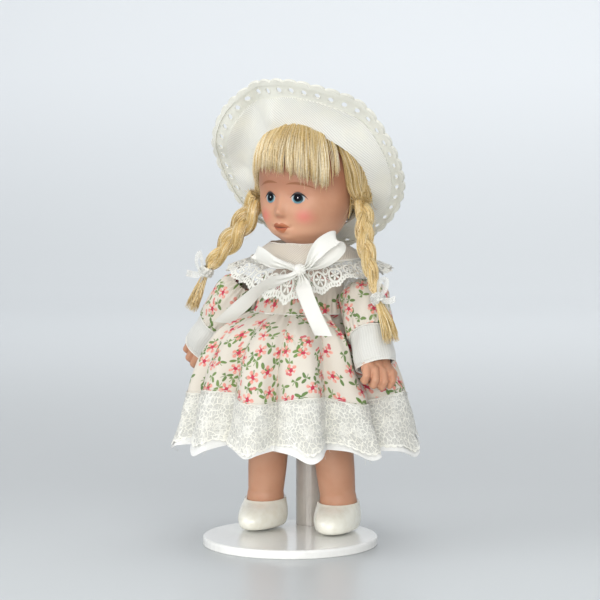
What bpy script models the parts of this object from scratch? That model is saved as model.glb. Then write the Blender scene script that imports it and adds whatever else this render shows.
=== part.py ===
"""A small porcelain doll on its display stand, built as separate pieces, in metres with +Z up.

The doll faces -Y, so its left side is +X. The origin is the centre of the stand's underside.
Each piece is one object, and the pieces that move together share a parent empty on their joint.
"""

import math

import bmesh
import bpy
from mathutils import Matrix, Vector

MM = 0.001
GAP = 0.3 * MM

# Stand
BASE_RADIUS = 31.0 * MM
BASE_HEIGHT = 3.1 * MM
BASE_EDGE = 0.9 * MM
POST_Y = 23.0 * MM
POST_RADIUS = 5.2 * MM
POST_TOP = 71.0 * MM
ROD_RADIUS = 3.4 * MM
ROD_BOTTOM = 44.0 * MM
ROD_TOP = 77.8 * MM
SOCKET_RADIUS = 4.0 * MM
SOCKET_DEPTH = 1.6 * MM
CLIP_BOTTOM = 73.4 * MM
CLIP_TOP = 77.4 * MM
CLIP_WALL = 1.0 * MM
CLIP_OPEN_DEG = 100

# Body
TORSO_Y = 10.0 * MM
TORSO_HALF_WIDTH = 12.0 * MM
TORSO_HALF_DEPTH = 7.0 * MM
HIP = Vector((9.5, 10.5, 64.0)) * MM
ANKLE = Vector((13.8, 13.0, 13.7)) * MM
KNEE_SHARE = 0.38
SOLE_Z = 3.7 * MM
NECK = Vector((0.5, 16.0, 101.0)) * MM
NECK_RADIUS = 6.0 * MM
NECK_HOLE = 3.5 * MM
PORCELAIN_WALL = 1.2 * MM

# Arms, left (+X) then right (-X): shoulder, fist
SHOULDERS = {"left": Vector((24.2, 10.0, 88.2)) * MM, "right": Vector((-22.6, 13.6, 88.6)) * MM}
FISTS = {"left": Vector((34.8, -10.2, 63.8)) * MM, "right": Vector((-41.4, 19.8, 65.0)) * MM}

# Head and hair
HEAD = Vector((0.5, 17.5, 128.0)) * MM
HEAD_TURN_DEG = -11.0
WIG_GAP = 0.8 * MM
WIG_THICKNESS = 1.0 * MM
BRAIDS = {
    "left": [(23.9, 10.2, 118.0), (25.8, 5.4, 110.0), (29.4, 0.4, 100.0), (33.2, -3.4, 89.6)],
    "right": [(-19.6, 16.6, 118.7), (-24.8, 15.4, 110.2), (-30.8, 14.6, 102.2), (-36.3, 14.2, 95.9)],
}
TASSELS = {
    "left": [(34.4, -4.6, 87.0), (37.6, -7.4, 81.0), (40.6, -10.4, 74.0)],
    "right": [(-37.5, 14.1, 93.4), (-40.3, 14.0, 87.0), (-43.1, 13.8, 80.5)],
}
BRAID_RADIUS = {"left": 2.9 * MM, "right": 3.9 * MM}
BRAID_PIVOTS = {"left": Vector((21.5, 11.5, 120.0)) * MM, "right": Vector((-18.5, 17.0, 120.5)) * MM}

# Hat
HAT = Vector((0.5, 18.3, 134.0)) * MM
HAT_FACING = Vector((-0.08, -0.83, -0.545)).normalized()
BRIM_RADIUS = 36.0 * MM
BRIM_LIFT = 3.0 * MM
BRIM_THICKNESS = 0.7 * MM
SCALLOPS = 42
SCALLOP_DEPTH = 0.5 * MM
OPENING_HALF_WIDTH = 20.8 * MM
OPENING_HALF_HEIGHT = 23.3 * MM
OPENING_DROP = 3.2 * MM
CROWN_DEPTH = 25.5 * MM

# Dress
FOLDS = 12
FOLD_PHASE = math.radians(73)
DRESS_Y_WAIST = 10.0 * MM
DRESS_Y_HEM = 8.5 * MM
WAIST_Z = 82.0 * MM
LACE_SEAM_Z = 54.0 * MM
HEM_Z = 35.8 * MM
CLOTH = 0.5 * MM
LACE = 0.4 * MM
LINING_INSET = 1.3 * MM
LINING_TOP = 61.0 * MM
SKIRT_PROFILE = [
    (35.0, 45.4), (45.0, 42.2), (54.0, 39.6), (60.0, 38.0), (67.0, 35.4), (72.0, 32.4), (76.0, 28.8),
    (79.0, 24.0), (82.0, 17.4),
]
# Where the arms press the skirt in: direction from the dress's middle, and how deep.
ARM_DENTS = [(math.radians(-17), 9.6 * MM), (math.radians(166), 8.6 * MM)]
DENT_WIDTH = math.radians(20)
FOLD_AT_WAIST = 0.8 * MM
FOLD_AT_HEM = 6.2 * MM

# Collar and bow
COLLAR_CENTRE = Vector((1.8, 16.6, 0.0)) * MM
YOKE_RADIUS = 20.5 * MM
YOKE_TOP_RADIUS = 12.6 * MM
YOKE_TOP = 106.2 * MM
COLLAR_RADIUS = 30.0 * MM
COLLAR_FOLDS = 14
RIBBON_WIDTH = 6.6 * MM
RIBBON_THICKNESS = 0.45 * MM
KNOT = Vector((6.0, -7.4, 97.8)) * MM

WHITE_PLASTIC = ((0.88, 0.89, 0.90), 0.25)
PORCELAIN = ((0.62, 0.34, 0.25), 0.55)
STUFFED = ((0.82, 0.78, 0.72), 0.9)
HAIR = ((0.80, 0.62, 0.30), 0.45)
HAT_CLOTH = ((0.86, 0.82, 0.72), 0.9)
FLORAL = ((0.86, 0.74, 0.68), 0.9)
WHITE_CLOTH = ((0.90, 0.89, 0.88), 0.9)
CREAM_LACE = ((0.86, 0.82, 0.66), 0.9)
WHITE_LACE = ((0.90, 0.88, 0.84), 0.9)
SATIN = ((0.92, 0.92, 0.92), 0.35)
WOOD = ((0.55, 0.40, 0.24), 0.7)


def clear_scene():
    for obj in list(bpy.data.objects):
        bpy.data.objects.remove(obj, do_unlink=True)


def make_collection(name):
    collection = bpy.data.collections.new(name)
    bpy.context.scene.collection.children.link(collection)
    return collection


def make_joint(collection, name, at):
    """An empty on a joint's axis, which carries the pieces that move there."""
    empty = bpy.data.objects.new(name, None)
    empty.empty_display_size = 5 * MM
    empty.location = at
    collection.objects.link(empty)
    return empty


def paint(obj, look):
    colour, roughness = look
    material = bpy.data.materials.new(obj.name)
    material.use_nodes = True
    shader = material.node_tree.nodes["Principled BSDF"]
    shader.inputs["Base Color"].default_value = (*colour, 1.0)
    shader.inputs["Roughness"].default_value = roughness
    shader.inputs["Metallic"].default_value = 0.0
    obj.data.materials.append(material)


def place(obj, joint):
    """Hangs the piece on its joint, with its own coordinates still the world's."""
    obj.parent = joint
    obj.location = obj.location - joint.location


def smooth(obj):
    for face in obj.data.polygons:
        face.use_smooth = True


def solidify(obj, thickness):
    """Thickens an open surface inwards, from the side that its faces look to."""
    modifier = obj.modifiers.new("wall", "SOLIDIFY")
    modifier.thickness = thickness
    modifier.offset = -1.0
    modifier.use_even_offset = True


def loft(collection, joint, name, rings, look, wall=None):
    """Joins closed rings of points, listed from the bottom up and counter-clockwise from above.

    Without a wall the ends are capped, and with one the open surface is thickened inwards.
    """
    bm = bmesh.new()
    rows = [[bm.verts.new(point) for point in ring] for ring in rings]
    for low, high in zip(rows, rows[1:]):
        for i in range(len(low)):
            j = (i + 1) % len(low)
            bm.faces.new((low[i], low[j], high[j], high[i]))
    if wall is None:
        bm.faces.new(rows[0][::-1])
        bm.faces.new(rows[-1])
    mesh = bpy.data.meshes.new(name)
    bm.to_mesh(mesh)
    bm.free()
    obj = bpy.data.objects.new(name, mesh)
    collection.objects.link(obj)
    smooth(obj)
    if wall is not None:
        solidify(obj, wall)
    paint(obj, look)
    place(obj, joint)
    return obj


def lathe(collection, joint, name, at, profile, sides, look):
    """Turns a profile of (radius, height) points, listed down its outer side, about the Z axis at a point."""
    bm = bmesh.new()
    points = [bm.verts.new((radius, 0.0, height)) for radius, height in profile]
    for i, point in enumerate(points):
        bm.edges.new((point, points[(i + 1) % len(points)]))
    mesh = bpy.data.meshes.new(name)
    bm.to_mesh(mesh)
    bm.free()
    obj = bpy.data.objects.new(name, mesh)
    collection.objects.link(obj)
    obj.location = at
    screw = obj.modifiers.new("turn", "SCREW")
    screw.steps = sides
    screw.render_steps = sides
    screw.merge_threshold = 0.00001
    screw.use_merge_vertices = True
    screw.use_smooth_shade = True
    paint(obj, look)
    place(obj, joint)
    return obj


def ellipse(centre, half_width, half_depth, sides, across=Vector((1, 0, 0)), along=Vector((0, 1, 0))):
    """A ring about a centre, counter-clockwise when seen from the side that across x along points to."""
    points = []
    for i in range(sides):
        angle = 2 * math.pi * i / sides
        points.append(centre + across * half_width * math.cos(angle) + along * half_depth * math.sin(angle))
    return points


def upright_frame(direction):
    """Two axes across a limb that points down, so that a ring on them runs counter-clockwise from above."""
    up = -direction.normalized()
    across = Vector((0, 1, 0)).cross(up).normalized()
    return across, up.cross(across)


def limb_rings(start, end, stations, sides):
    """Rings along a limb from start to end. A station is (share of the length, half width, half depth)."""
    across, along = upright_frame(end - start)
    rings = []
    for share, half_width, half_depth in reversed(stations):
        centre = start.lerp(end, share)
        rings.append(ellipse(centre, half_width * MM, half_depth * MM, sides, across, along))
    return rings


def interpolate(table, value):
    """Straight-line interpolation in a table of (value, result) pairs with rising values."""
    if value <= table[0][0]:
        return table[0][1]
    for (low, at_low), (high, at_high) in zip(table, table[1:]):
        if value <= high:
            return at_low + (at_high - at_low) * (value - low) / (high - low)
    return table[-1][1]


def smoothstep(low, high, value):
    share = min(1.0, max(0.0, (value - low) / (high - low)))
    return share * share * (3 - 2 * share)


# ---------------------------------------------------------------- stand


def build_stand(collection, root, cutters):
    rounded = [
        (BASE_EDGE * math.cos(math.radians(a)), BASE_EDGE * math.sin(math.radians(a)))
        for a in (90, 60, 30, 0)
    ]
    profile = [(0.0, BASE_HEIGHT)]
    profile += [(BASE_RADIUS - BASE_EDGE + x, BASE_HEIGHT - BASE_EDGE + z) for x, z in rounded]
    profile += [(BASE_RADIUS, 0.3 * MM), (BASE_RADIUS - 0.3 * MM, 0.0), (0.0, 0.0)]
    base = lathe(collection, root, "stand_base", Vector((0, 0, 0)), profile, 64, WHITE_PLASTIC)
    bpy.ops.mesh.primitive_cylinder_add(
        vertices=32, radius=SOCKET_RADIUS, depth=2 * SOCKET_DEPTH, location=(0, POST_Y, BASE_HEIGHT)
    )
    cutter = bpy.context.object
    cutter.name = "post_socket_cutter"
    cutter.hide_render = True
    cutter.display_type = "WIRE"
    for owner in list(cutter.users_collection):
        owner.objects.unlink(cutter)
    cutters.objects.link(cutter)
    socket = base.modifiers.new("post_socket", "BOOLEAN")
    socket.operation = "DIFFERENCE"
    socket.solver = "EXACT"
    socket.object = cutter

    bore = ROD_RADIUS + 0.1 * MM
    spigot = SOCKET_RADIUS - 0.1 * MM
    foot = BASE_HEIGHT + 0.05 * MM
    profile = [
        (bore, POST_TOP),
        (POST_RADIUS - 0.4 * MM, POST_TOP),
        (POST_RADIUS, POST_TOP - 0.4 * MM),
        (POST_RADIUS, foot),
        (spigot, foot),
        (spigot, BASE_HEIGHT - SOCKET_DEPTH + 0.1 * MM),
        (bore, BASE_HEIGHT - SOCKET_DEPTH + 0.1 * MM),
    ]
    lathe(collection, root, "stand_post", Vector((0, POST_Y, 0)), profile, 32, WHITE_PLASTIC)


def build_clip(collection, doll):
    profile = [(0.0, ROD_TOP), (ROD_RADIUS, ROD_TOP), (ROD_RADIUS, ROD_BOTTOM), (0.0, ROD_BOTTOM)]
    lathe(collection, doll, "stand_rod", Vector((0, POST_Y, 0)), profile, 24, WHITE_PLASTIC)
    inner_x = TORSO_HALF_WIDTH + 0.9 * MM
    inner_y = TORSO_HALF_DEPTH + 0.5 * MM
    count = 18
    half = CLIP_OPEN_DEG / 2
    turns = [math.radians(-90 + half + (360 - 2 * half) * i / count) for i in range(count + 1)]
    inner = [Vector((inner_x * math.cos(a), TORSO_Y + inner_y * math.sin(a), 0)) for a in turns]
    outer = [
        Vector(((inner_x + CLIP_WALL) * math.cos(a), TORSO_Y + (inner_y + CLIP_WALL) * math.sin(a), 0))
        for a in turns
    ]
    outline = []
    for point in outer:
        near_rod = abs(point.x) < 3.2 * MM and point.y > TORSO_Y
        outline.append(Vector((point.x, POST_Y - ROD_RADIUS - 0.05 * MM, 0)) if near_rod else point)
    outline += inner[::-1]
    low = [p + Vector((0, 0, CLIP_BOTTOM)) for p in outline]
    high = [p + Vector((0, 0, CLIP_TOP)) for p in outline]
    loft(collection, doll, "waist_clip", [low, high], WHITE_PLASTIC)


# ---------------------------------------------------------------- body


def build_torso(collection, doll):
    sections = [
        (59.5, 12.0, 5.0, 10.4), (62.0, 13.4, 6.6, 10.4), (68.0, 13.2, 7.0, 10.0), (75.0, 12.0, 7.0, 10.0),
        (82.0, 11.6, 7.0, 10.8), (89.0, 11.4, 7.0, 12.4), (93.6, 9.4, 6.2, 13.6),
    ]
    rings = [ellipse(Vector((0, y, z)) * MM, w * MM, d * MM, 20) for z, w, d, y in sections]
    loft(collection, doll, "torso", rings, STUFFED)


def build_shoulder_plate(collection, doll):
    x, y = NECK.x, NECK.y
    top = NECK.z - GAP
    sections = [
        (87.5, 12.8, 8.7, 12.2), (91.0, 13.0, 8.9, 12.8), (94.6, 12.0, 8.9, 13.6), (97.2, 8.8, 7.8, 14.8),
    ]
    rings = [ellipse(Vector((0, cy, z)) * MM, w * MM, d * MM, 20) for z, w, d, cy in sections]
    rings.append(ellipse(Vector((x, y, top - 0.4 * MM)), NECK_RADIUS, NECK_RADIUS, 20))
    rings.append(ellipse(Vector((x, y, top)), NECK_RADIUS - 0.4 * MM, NECK_RADIUS - 0.4 * MM, 20))
    rings.append(ellipse(Vector((x, y, top)), NECK_HOLE, NECK_HOLE, 20))
    loft(collection, doll, "shoulder_plate", rings, PORCELAIN, wall=PORCELAIN_WALL)
    shaft = NECK_HOLE - GAP
    flange = 4.5 * MM
    under = top - PORCELAIN_WALL - GAP
    over = NECK.z + PORCELAIN_WALL + GAP
    disc = 1.2 * MM
    profile = [
        (0.0, over + disc), (flange, over + disc), (flange, over), (shaft, over), (shaft, under),
        (flange, under), (flange, under - disc), (0.0, under - disc),
    ]
    lathe(collection, doll, "neck_peg", Vector((x, y, 0)), profile, 20, WOOD)


def build_leg(collection, joint, side):
    sign = 1 if side == "left" else -1
    hip = Vector((sign * HIP.x, HIP.y, HIP.z))
    ankle = Vector((sign * ANKLE.x, ANKLE.y, ANKLE.z))
    # The thigh's top narrows where it is sewn to the hip, just under the torso.
    cloth = [(0.13, 3.2, 3.4), (0.18, 5.2, 5.4), (0.28, 6.5, 6.7), (KNEE_SHARE + 0.02, 6.5, 6.7)]
    rings = limb_rings(hip, ankle, cloth, 16)
    loft(collection, joint, f"upper_leg_{side}", rings, STUFFED)

    start = hip.lerp(ankle, KNEE_SHARE + 0.03)
    porcelain = [(0.0, 6.4, 6.6), (0.3, 7.0, 7.2), (0.62, 6.9, 7.1), (0.88, 6.6, 6.7), (1.0, 6.9, 7.2)]
    rings = limb_rings(start, ankle, porcelain, 18)
    rings = shoe_rings(ankle, sign, 18) + rings
    loft(collection, joint, f"lower_leg_{side}", rings, PORCELAIN)


def shoe_rings(ankle, sign, sides):
    """Rings of a moulded slip-on shoe from its sole up. The toe is to the front, past the ankle."""
    turn = Matrix.Rotation(math.radians(sign * 4), 3, "Z")
    sections = [
        # height, half width, heel (behind the ankle), toe (in front of it)
        (SOLE_Z, 5.6, 4.6, 12.6), (SOLE_Z + 0.8 * MM, 7.0, 6.2, 15.0), (SOLE_Z + 2.6 * MM, 8.0, 7.2, 16.4),
        (SOLE_Z + 5.0 * MM, 8.2, 7.6, 15.8), (SOLE_Z + 7.4 * MM, 7.9, 7.6, 12.6),
        (SOLE_Z + 9.2 * MM, 7.4, 7.5, 8.8),
    ]
    rings = []
    for z, half_width, heel, toe in sections:
        ring = []
        for i in range(sides):
            angle = 2 * math.pi * i / sides
            reach = heel if math.sin(angle) > 0 else toe
            point = Vector((half_width * math.cos(angle), reach * math.sin(angle), 0)) * MM
            ring.append(turn @ point + Vector((ankle.x, ankle.y, z)))
        rings.append(ring)
    return rings


def build_arm(collection, joint, side):
    shoulder, fist = SHOULDERS[side], FISTS[side]
    puff = [(-0.10, 5.0, 5.0), (-0.02, 7.6, 7.6), (0.2, 8.6, 8.8), (0.42, 8.4, 8.6), (0.54, 7.6, 7.8)]
    loft(collection, joint, f"sleeve_{side}", limb_rings(shoulder, fist, puff, 18), FLORAL, wall=CLOTH)
    cuff = [(0.555, 7.3, 7.4), (0.7, 7.3, 7.4), (0.88, 7.2, 7.3)]
    rings = limb_rings(shoulder, fist, cuff, 18)
    loft(collection, joint, f"undersleeve_{side}", rings, WHITE_CLOTH, wall=CLOTH)
    cloth = [(0.02, 2.6, 2.6), (0.1, 3.9, 3.9), (0.4, 3.8, 3.8), (0.5, 3.4, 3.4)]
    loft(collection, joint, f"upper_arm_{side}", limb_rings(shoulder, fist, cloth, 12), STUFFED)
    hand = [
        (0.51, 2.8, 2.8), (0.6, 3.1, 3.1), (0.78, 3.0, 3.0), (0.84, 3.4, 3.1), (0.94, 5.6, 3.5),
        (1.06, 6.0, 3.6), (1.14, 5.0, 2.8),
    ]
    loft(collection, joint, f"forearm_{side}", limb_rings(shoulder, fist, hand, 14), PORCELAIN)


# ---------------------------------------------------------------- head and hair

# Half width, front and back of the head at heights above its centre, in millimetres.
HEAD_SHAPE = [
    (-20.6, 9.0, 11.6, 7.0), (-18.6, 11.6, 14.4, 9.4), (-15.0, 14.0, 16.4, 12.4), (-10.0, 15.8, 17.4, 15.6),
    (-4.0, 16.7, 17.4, 18.0), (3.0, 16.9, 17.9, 19.0), (10.0, 15.4, 16.6, 18.0), (16.0, 11.8, 12.8, 13.8),
    (20.0, 6.6, 7.4, 7.8), (21.4, 2.6, 3.0, 3.0),
]
HALF_WIDTHS = [(z, w) for z, w, front, back in HEAD_SHAPE]
FRONTS = [(z, front) for z, w, front, back in HEAD_SHAPE]
BACKS = [(z, back) for z, w, front, back in HEAD_SHAPE]


def head_point(angle, height, grow=0.0):
    """A point on the head, in world space. Angle 0 is the doll's left, and height is above the centre."""
    scale = 1 + grow / (18 * MM)
    z = height / MM
    half_width = interpolate(HALF_WIDTHS, z)
    reach = interpolate(BACKS if math.sin(angle) > 0 else FRONTS, z)
    local = Vector((half_width * math.cos(angle), reach * math.sin(angle), z)) * MM * scale
    return HEAD + Matrix.Rotation(math.radians(HEAD_TURN_DEG), 3, "Z") @ local


def build_head(collection, head):
    sides = 24
    x, y, z = NECK
    rings = [
        ellipse(Vector((x, y, z)), NECK_HOLE, NECK_HOLE, sides),
        ellipse(Vector((x, y, z)), NECK_RADIUS - 0.4 * MM, NECK_RADIUS - 0.4 * MM, sides),
        ellipse(Vector((x, y, z + 0.4 * MM)), NECK_RADIUS, NECK_RADIUS, sides),
        ellipse(Vector((x, y, z + 4.6 * MM)), NECK_RADIUS + 0.2 * MM, NECK_RADIUS + 0.2 * MM, sides),
    ]
    for height, *rest in HEAD_SHAPE:
        ring = []
        for i in range(sides):
            angle = 2 * math.pi * i / sides
            point = head_point(angle, height * MM)
            nose = 2.0 * MM * math.exp(-(((height + 10.5) / 2.4) ** 2)) if i == sides * 3 // 4 else 0.0
            forward = Matrix.Rotation(math.radians(HEAD_TURN_DEG), 3, "Z") @ Vector((0, -1, 0))
            ring.append(point + forward * nose)
        rings.append(ring)
    crown = sum(rings[-1], Vector()) / sides + Vector((0, 0, 0.3 * MM))
    rings.append([crown + (point - crown) * 0.25 for point in rings[-1]])
    obj = loft(collection, head, "head", rings, PORCELAIN, wall=PORCELAIN_WALL)
    close_top(obj)


def close_top(obj):
    """Fills the last small ring of a lofted surface, so that its top is whole."""
    bm = bmesh.new()
    bm.from_mesh(obj.data)
    top = max(vert.co.z for vert in bm.verts)
    rim = [edge for edge in bm.edges if edge.is_boundary and min(v.co.z for v in edge.verts) > top - 1 * MM]
    bmesh.ops.holes_fill(bm, edges=rim, sides=0)
    bm.to_mesh(obj.data)
    bm.free()
    smooth(obj)


def hairline(angle):
    """Height of the wig's lower edge round the head: a fringe in front, the nape at the back."""
    front = math.cos(angle + math.pi / 2)
    side = smoothstep(0.25, 0.72, front)
    return (-13.5 + 15.0 * side) * MM


def build_wig(collection, head):
    sides = 24
    shares = (0.0, 0.14, 0.3, 0.46, 0.62, 0.76, 0.88, 0.96)
    top = 21.2 * MM
    rings = []
    grow = WIG_GAP + WIG_THICKNESS
    for share in shares:
        ring = []
        for i in range(sides):
            angle = 2 * math.pi * i / sides
            low = hairline(angle)
            ring.append(head_point(angle, low + (top - low) * share, grow))
        rings.append(ring)
    crown = sum(rings[-1], Vector()) / sides + Vector((0, 0, 1.2 * MM))
    rings.append([crown + (point - crown) * 0.3 for point in rings[-1]])
    obj = loft(collection, head, "wig", rings, HAIR, wall=WIG_THICKNESS)
    close_top(obj)


def path_rings(points, radii, sides):
    """Rings across a path of points that runs down, listed from the bottom up."""
    rings = []
    for i in range(len(points) - 1, -1, -1):
        ahead = points[min(i + 1, len(points) - 1)] - points[max(i - 1, 0)]
        across, along = upright_frame(ahead)
        rings.append(ellipse(points[i], radii[i], radii[i], sides, across, along))
    return rings


def spline(points, steps):
    """A smooth curve through the points, with steps pieces between each two."""
    ends = [points[0] * 2 - points[1]] + points + [points[-1] * 2 - points[-2]]
    curve = []
    for a, b, c, d in zip(ends, ends[1:], ends[2:], ends[3:]):
        for step in range(steps):
            t = step / steps
            bend = (2 * a - 5 * b + 4 * c - d) * t**2 + (3 * b - a - 3 * c + d) * t**3
            curve.append(0.5 * (2 * b + (c - a) * t + bend))
    return curve + [points[-1]]


def build_braid(collection, joint, side):
    points = spline([Vector(p) * MM for p in BRAIDS[side]], 4)
    tassel = spline([Vector(p) * MM for p in TASSELS[side]], 2)
    last = len(points) - 1
    radii = []
    for i in range(len(points)):
        share = i / last
        root = 0.55 + 0.45 * smoothstep(0.0, 0.2, share)
        taper = 1.0 - 0.42 * smoothstep(0.45, 1.0, share)
        radii.append(BRAID_RADIUS[side] * root * taper)
    neck = 1.5 * MM
    radii[-1] = neck
    spread = [(0.0, neck), (0.25, neck), (0.5, 2.4 * MM), (0.75, 3.0 * MM), (1.0, 3.1 * MM)]
    fan = [interpolate(spread, k / (len(tassel) - 1)) for k in range(len(tassel))]
    rings = path_rings(points + tassel, radii + fan, 10)
    loft(collection, joint, f"braid_{side}", rings, HAIR)

    start = points[-1].lerp(tassel[0], -0.05)
    end = points[-1].lerp(tassel[0], 1.05)
    outer = 2.9 * MM
    inner = neck + 0.35 * MM
    across, along = upright_frame(end - start)
    rings = [
        ellipse(end, inner, inner, 14, across, along),
        ellipse(end, outer, outer, 14, across, along),
        ellipse(start, outer, outer, 14, across, along),
        ellipse(start, inner, inner, 14, across, along),
    ]
    obj = loft(collection, joint, f"braid_tie_{side}", rings, WHITE_LACE, wall=0.2 * MM)
    make_band(obj, 14)


def make_band(obj, sides):
    """Closes the open surface of a wrapped band: its two rims are joined by the inner wall."""
    obj.modifiers.clear()
    bm = bmesh.new()
    bm.from_mesh(obj.data)
    bm.verts.ensure_lookup_table()
    first = [bm.verts[i] for i in range(sides)]
    last = [bm.verts[len(bm.verts) - sides + i] for i in range(sides)]
    for i in range(sides):
        j = (i + 1) % sides
        bm.faces.new((last[i], last[j], first[j], first[i]))
    bm.to_mesh(obj.data)
    bm.free()


# ---------------------------------------------------------------- hat


def hat_frame():
    across = Vector((1, 0, 0)) - HAT_FACING * HAT_FACING.x
    across.normalize()
    up = HAT_FACING.cross(across)
    if up.z < 0:
        up = -up
    return across, up


def hat_point(across_mm, up_mm, forward_mm):
    across, up = hat_frame()
    return HAT + (across * across_mm + up * up_mm + HAT_FACING * forward_mm) * MM


def build_hat(collection, hat):
    sides = SCALLOPS * 2
    half_width = OPENING_HALF_WIDTH / MM
    half_height = OPENING_HALF_HEIGHT / MM
    drop = OPENING_DROP / MM
    lift = BRIM_LIFT / MM
    rings = []
    for share in (1.0, 0.55, 0.0):
        ring = []
        for i in range(sides):
            angle = 2 * math.pi * i / sides
            scallop = SCALLOP_DEPTH / MM * (1 if i % 2 else -1) if share == 1.0 else 0.0
            rim = BRIM_RADIUS / MM + scallop
            crease = 1.1 * math.sin(5 * angle + 0.6) * share
            x = (half_width + 0.4) * math.cos(angle) * (1 - share) + rim * math.cos(angle) * share
            y = ((half_height + 0.4) * math.sin(angle) - drop) * (1 - share) + rim * math.sin(angle) * share
            ring.append(hat_point(x, y, lift * (1 - share) ** 2 + crease))
        rings.append(ring)
    loft(collection, hat, "hat_brim", rings, HAT_CLOTH, wall=BRIM_THICKNESS)

    sides = 28
    depth = CROWN_DEPTH / MM
    rings = []
    for share in (0.0, 0.3, 0.6, 0.82, 0.95, 1.0):
        wide = (1 - share**2.6) ** (1 / 2.6) if share < 1 else 0.14
        ring = []
        for i in range(sides):
            angle = 2 * math.pi * i / sides
            x = (half_width) * math.cos(angle) * wide
            y = (half_height) * math.sin(angle) * wide - drop * (1 - 0.5 * share)
            ring.append(hat_point(x, y, lift - 1.0 - depth * share))
        rings.append(ring)
    obj = loft(collection, hat, "hat_crown", rings, HAT_CLOTH, wall=BRIM_THICKNESS)
    fill_last_ring(obj, sides)


def fill_last_ring(obj, sides):
    bm = bmesh.new()
    bm.from_mesh(obj.data)
    bm.verts.ensure_lookup_table()
    bm.faces.new([bm.verts[len(bm.verts) - sides + i] for i in range(sides)])
    bm.to_mesh(obj.data)
    bm.free()
    smooth(obj)


# ---------------------------------------------------------------- dress


def fold(angle):
    """How far the skirt's folds stand out, from -1 to 1, at an angle round the doll."""
    main = math.cos(FOLDS * (angle + FOLD_PHASE) + 0.5 * math.sin(2 * angle + 0.4))
    return 0.85 * main + 0.15 * math.cos(5 * angle + 1.0)


def skirt_point(angle, z, inset=0.0):
    share = (WAIST_Z - z) / (WAIST_Z - HEM_Z)
    reach = FOLD_AT_WAIST + (FOLD_AT_HEM - FOLD_AT_WAIST) * share
    outer = interpolate(SKIRT_PROFILE, z / MM) * MM
    radius = outer - reach + reach * fold(angle) - inset
    pressed = smoothstep(56 * MM, 66 * MM, z) * (1 - smoothstep(79 * MM, 82 * MM, z))
    for direction, depth in ARM_DENTS:
        away = (angle - direction + math.pi) % (2 * math.pi) - math.pi
        radius -= depth * pressed * math.exp(-((away / DENT_WIDTH) ** 2))
    flat = 1.0 - 0.14 * smoothstep(60 * MM, 82 * MM, z)
    centre = DRESS_Y_WAIST + (DRESS_Y_HEM - DRESS_Y_WAIST) * share
    return Vector((radius * math.cos(angle), centre + radius * flat * math.sin(angle), z))


def skirt_rings(levels, inset, sides):
    return [[skirt_point(2 * math.pi * i / sides, z * MM, inset) for i in range(sides)] for z in levels]


def build_dress(collection, doll):
    sides = FOLDS * 6
    hem, seam = HEM_Z / MM, LACE_SEAM_Z / MM
    floral = skirt_rings((seam + 0.3, 60.0, 66.0, 71.0, 75.0, 78.4, 81.4), 0.0, sides)
    loft(collection, doll, "dress_skirt", floral, FLORAL, wall=CLOTH)
    lace = skirt_rings((hem, 42.0, 48.0, seam), 0.0, sides)
    loft(collection, doll, "hem_lace", lace, CREAM_LACE, wall=LACE)
    lining = skirt_rings((hem - 0.6, 42.0, 48.0, seam, LINING_TOP / MM), LINING_INSET, sides)
    loft(collection, doll, "skirt_lining", lining, WHITE_CLOTH, wall=LACE)
    sections = [
        (82.0, 16.4, 13.6, 10.2), (85.0, 15.6, 12.0, 11.0), (89.0, 15.4, 11.0, 12.2),
        (94.4, 15.0, 10.6, 13.2),
    ]
    rings = [ellipse(Vector((0.3, y, z)) * MM, w * MM, d * MM, 28) for z, w, d, y in sections]
    loft(collection, doll, "dress_bodice", rings, FLORAL, wall=CLOTH)


def collar_height(radius, angle):
    """Height of the collar's upper face: steeper in front and behind than over the shoulders."""
    steep = 0.012 + 0.030 * math.sin(angle) ** 4
    reach = max(0.0, radius / MM - 12.0)
    return (102.3 - 0.12 * reach - steep * reach**2) * MM


def build_collar(collection, doll):
    sides = 28
    rings = []
    for share in (0.0, 0.34, 0.68, 1.0):
        radius = YOKE_RADIUS + (YOKE_TOP_RADIUS - YOKE_RADIUS) * share
        centre = COLLAR_CENTRE.lerp(NECK, share)
        ring = []
        for i in range(sides):
            angle = 2 * math.pi * i / sides
            low = collar_height(YOKE_RADIUS, angle) + 0.6 * MM
            height = low + (YOKE_TOP - low) * share
            ring.append(
                Vector((centre.x + radius * math.cos(angle), centre.y + radius * math.sin(angle), height))
            )
        rings.append(ring)
    loft(collection, doll, "yoke", rings, HAT_CLOTH, wall=CLOTH)

    sides = COLLAR_FOLDS * 5
    rings = []
    for radius in (COLLAR_RADIUS, 26.5 * MM, 23.5 * MM, YOKE_RADIUS + 0.4 * MM):
        ruffle = (radius - YOKE_RADIUS) / (COLLAR_RADIUS - YOKE_RADIUS)
        ring = []
        for i in range(sides):
            angle = 2 * math.pi * i / sides
            wave = math.sin(COLLAR_FOLDS * angle + 0.3)
            out = radius + 0.5 * MM * ruffle * wave
            height = collar_height(radius, angle) + 1.1 * MM * ruffle * wave
            ring.append(
                COLLAR_CENTRE + Vector((out * math.cos(angle), out * math.sin(angle), height))
            )
        rings.append(ring)
    loft(collection, doll, "lace_collar", rings, WHITE_LACE, wall=LACE)


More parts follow.
